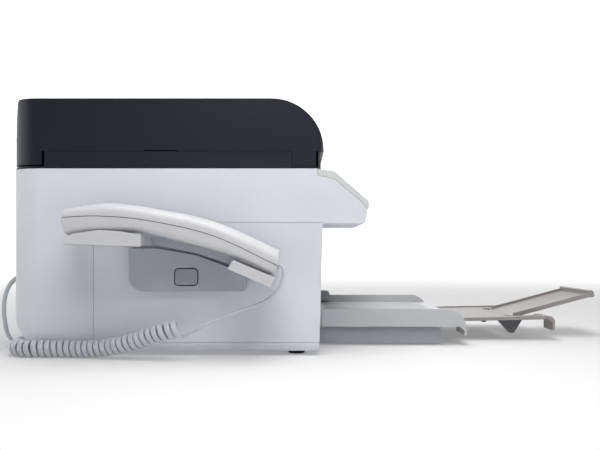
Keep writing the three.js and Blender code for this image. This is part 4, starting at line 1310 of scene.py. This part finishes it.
# ---- the paper cassette and the trays -------------------------------------------------------
@dataclass
class PaperTrays:
    """The cassette, the output tray over it, its extension and the flap at the end."""

    floor_mm: float = 29.4
    reach_mm: tuple[float, float] = (312.0, 452.0)
    rib_pitch_mm: float = 21.0

    def build(self) -> None:
        """Makes the trays' visible pieces."""
        show_nodes(
            ("paper_cassette", 0.6, CASSETTE, "cassette", "cassette"),
            ("paper_guide_left", 0.4, CASSETTE, "paper_guide_left", "cassette"),
            ("paper_guide_right", 0.4, CASSETTE, "paper_guide_right", "cassette"),
            ("output_cover", 0.7, TRAY, "output_cover", "tray"),
            ("extension_tray", 0.4, EXTENSION, "extension", "cassette"),
            ("support_flap", 0.5, EXTENSION, "support_flap", "cassette"),
        )
        extension = bpy.data.objects["visible_extension_tray"]
        paint(extension, DARK, (-70.0, 500.0, 5.0), (70.0, 545.0, 19.8))
        self._ribs()

    def _ribs(self) -> None:
        """Low rails along the output tray's floor that the printed pages slide on."""
        x = np.arange(-4, 5) * self.rib_pitch_mm
        rear, front = self.reach_mm
        level = np.array([[-0.6, 0.0], [0.6, 0.0], [0.45, 0.9], [-0.45, 0.9]])
        parts = []
        for at in x:
            ends = [(rear, 0.3), (rear + 6, 1.0), (front - 16, 1.0), (front - 4, 0.3)]
            rings = [
                np.column_stack([at + level[:, 0], np.full(4, u), self.floor_mm - 0.1 + level[:, 1] * tall])
                for u, tall in ends
            ]
            parts.append(skin(place(rings)))
        Piece(mesh_object("tray_rails", *merged(parts), 30), TRAY, "output_cover", "tray").settle()


# ---- the handset ----------------------------------------------------------------------------
SideView = tuple[tuple[float, float], ...]


@dataclass
class Handset:
    """A slim curved handset of two shells that meet in a thin dark groove.

    A station t from 0 at the ear end to 1 at the mouth end has a back point B, a seam point S and a
    face point F. A point of the upper shell's section is (x0 + w cos^(2/p) a, S + (B - S) sin^(2/p) a),
    and the lower shell's runs from S to F in the same way. The ends draw in by a quarter circle.
    """

    x_mm: float = -233.0
    half_mm: float = 23.0
    back: SideView = ((70.5, 139.5), (108, 145.2), (152, 140.2), (207, 128), (265, 102.1))
    seam: SideView = ((69.8, 131.5), (105, 132.7), (150, 128.4), (207, 114.8), (263.7, 88.4))
    face: SideView = ((73, 115.6), (106, 117.2), (139.9, 118.3), (184.9, 107.8), (223.1, 97.1), (259.4, 80.4))
    stations: int = 60
    around: int = 36
    end_mm: float = 1.8
    end_rings: int = 6
    groove_mm: float = 0.35

    def build(self) -> None:
        """Makes the two shells, the gasket between them and the sound openings."""
        upper = self._shell("handset_upper", self.back, 3.2, 1)
        Piece(upper, HANDSET, "handset", "handset", ("handset_upper_shell",)).settle()
        lower = self._shell("handset_lower", self.face, 5.0, -1)
        Piece(lower, HANDSET, "handset", "handset", ("handset_lower_shell",)).settle()
        self._gasket()
        self._openings()

    def _curve(self, points: SideView, at: np.ndarray) -> np.ndarray:
        """The side view curve through given points, read at fractions of its length in u.

        Args:
            points: (u, z) in millimetres.
            at: fractions from 0 to 1.

        Returns:
            (n, 2) points of the curve.
        """
        curve = catmull(np.array(points, float), 16)
        u = points[0][0] + at * (points[-1][0] - points[0][0])
        return np.stack([u, np.interp(u, curve[:, 0], curve[:, 1])], axis=-1)

    def _stations(self) -> tuple[np.ndarray, np.ndarray]:
        """Where the sections stand.

        Returns:
            Fractions along the handset, and how far the section draws in at each, in millimetres.
        """
        length = self.seam[-1][0] - self.seam[0][0]
        turn = np.linspace(0, np.pi / 2, self.end_rings + 1)[1:]
        near = self.end_mm * (1 - np.cos(turn))[::-1]
        first = np.sort(self.end_mm * (1 - np.sin(turn))[::-1] / length)
        middle = np.linspace(self.end_mm / length, 1 - self.end_mm / length, self.stations)
        at = np.concatenate([first, middle, 1 - first[::-1]])
        inset = np.concatenate([near, np.zeros(self.stations), near[::-1]])
        return at, inset

    def _shell(self, name: str, outer: SideView, power: float, side: int) -> bpy.types.Object:
        """One shell, from the groove out to its outer curve.

        Args:
            name: the piece's name.
            outer: the side view points of its outer curve.
            power: p, the higher the squarer its section.
            side: 1 for the upper shell and -1 for the lower.

        Returns:
            The shell's object.
        """
        at, inset = self._stations()
        seam, far = self._curve(self.seam, at), self._curve(outer, at)
        toward = unit(far - seam)
        seam = seam + toward * self.groove_mm
        reach = np.linalg.norm(far - seam, axis=-1) - inset
        angle = np.linspace(0, np.pi, self.around)
        c, s = np.cos(angle), np.sin(angle)
        w = np.sign(c) * np.abs(c) ** (2 / power)
        h = np.abs(s) ** (2 / power)
        x = self.x_mm + side * w[None] * (self.half_mm - inset)[:, None]
        uz = seam[:, None] + toward[:, None] * (h[None, :, None] * reach[:, None, None])
        rings = np.concatenate([x[..., None], uz], axis=-1)
        return mesh_object(name, *skin(place(rings)), 40)

    def _gasket(self) -> None:
        """A dark strip inside the groove, a little smaller than the shells round it."""
        at, _ = self._stations()
        at = np.clip(at, 0.012, 0.988)[self.end_rings : -self.end_rings]
        seam = self._curve(self.seam, at)
        up = unit(self._curve(self.back, at) - seam)
        half, tall = self.half_mm - 0.9, 1.2
        lines = [
            np.column_stack([np.full(len(at), self.x_mm + side * half), seam + up * rise])
            for side, rise in ((-1, -tall), (1, -tall), (1, tall), (-1, tall))
        ]
        rings = np.stack(lines, axis=1)
        strip = mesh_object("handset_gasket", *skin(place(rings)), 40)
        Piece(strip, DARK, "handset", "handset").settle()

    def _openings(self) -> None:
        """Small dark discs in the face: three rings at the ear end and two rows at the mouth end."""
        spots = [(0.0, 0.0)]
        for count, radius in ((6, 4.0), (12, 8.0), (18, 12.0)):
            turn = np.linspace(0, 2 * np.pi, count, endpoint=False)
            spots += list(zip(radius * np.cos(turn), radius * np.sin(turn)))
        ear = [(dx, 96 + du) for dx, du in spots]
        mouth = [(dx, u) for dx in np.linspace(-9, 9, 7) for u in (240.0, 246.0)]
        curve = catmull(np.array(self.face, float), 16)
        parts = []
        for dx, u in ear + mouth:
            z = float(np.interp(u, curve[:, 0], curve[:, 1]))
            ahead = float(np.interp(u + 1, curve[:, 0], curve[:, 1]))
            down = np.array([0, -(z - ahead), -1.0])
            start = place(np.array([self.x_mm + dx, u, z + 0.4]))
            parts.append(turned([(0, 0.8), (0.5, 0.8), (0.52, 0.6)], start, down, 10))
        Piece(mesh_object("handset_holes", *merged(parts), 30), DARK, "handset", "handset").settle()


# ---- the cradle -----------------------------------------------------------------------------
@dataclass
class Cradle:
    """The raised plinth on the side, its round-cornered button and the two cups."""

    round_mm: float = 3.4
    button_mm: tuple[float, float] = (174.8, 76.8)
    outer_mm: float = -208.0

    def build(self) -> None:
        """Makes the plinth, the button, the cups and the hook switch."""
        self._plinth()
        bracket = moulded("cradle_bracket", 0.9, 3)
        Piece(bracket, HANDSET, "root", "handset", ("cradle_bracket",)).settle()
        # The bracket's arm takes the plinth's grey: partly the arm's own colour, partly painted shade under
        # the handset.
        paint(bracket, PLINTH_WITH_SHADE, (-210.5, 142.0, 80.0), (-199.0, 232.0, 118.0))
        button = moulded("cradle_button", 0.7, 3)
        Piece(button, BUTTON, "cradle_button", "button", ("cradle_button",)).settle()
        show_nodes(("hook_switch", 0.8, HANDSET, "hook_switch", "handset"))

    def _plinth(self) -> None:
        """The plinth with a large radius round its outer edge and a small one round the button."""
        made = moulded("cradle_plinth", self.round_mm, 5)
        mesh = made.data
        points = np.empty(len(mesh.vertices) * 3)
        mesh.vertices.foreach_get("co", points)
        points = points.reshape(-1, 3)
        ends = np.empty(len(mesh.edges) * 2, int)
        mesh.edges.foreach_get("vertices", ends)
        pair = points[ends.reshape(-1, 2)]
        on_face = (np.abs(pair[..., 0] - (self.outer_mm / 1000 + MIDDLE_X)) < 1e-4).all(1)
        centre = place(np.array([self.outer_mm, *self.button_mm]))
        near = (np.abs(pair[..., 1:] - centre[1:]) < [0.015, 0.012]).all((1, 2))
        weight = np.where(on_face & ~near, 1.0, 0.0)
        weight[on_face & near] = 0.14
        layer = mesh.attributes.new("bevel_weight_edge", "FLOAT", "EDGE")
        layer.data.foreach_set("value", weight.astype(np.float32))
        made.modifiers[0].limit_method = "WEIGHT"
        # The plinth takes a grey that is partly its own and partly painted shade.
        Piece(made, PLINTH_WITH_SHADE, "root", "plinth", ("cradle_plinth",)).settle()


def main() -> None:
    """Builds every part of the machine and logs each part as it is done."""
    logging.basicConfig(level=logging.INFO, format="%(name)s: %(message)s")
    Studio().build()
    HandsetCord().build()
    parts = (Body(), ControlPanel(), ScannerUnit(), Lid(), PrintWorks(), PaperTrays(), Handset(), Cradle())
    for part in parts:
        part.build()
        log.info("%s is done", type(part).__name__)


if __name__ == "__main__":
    main()
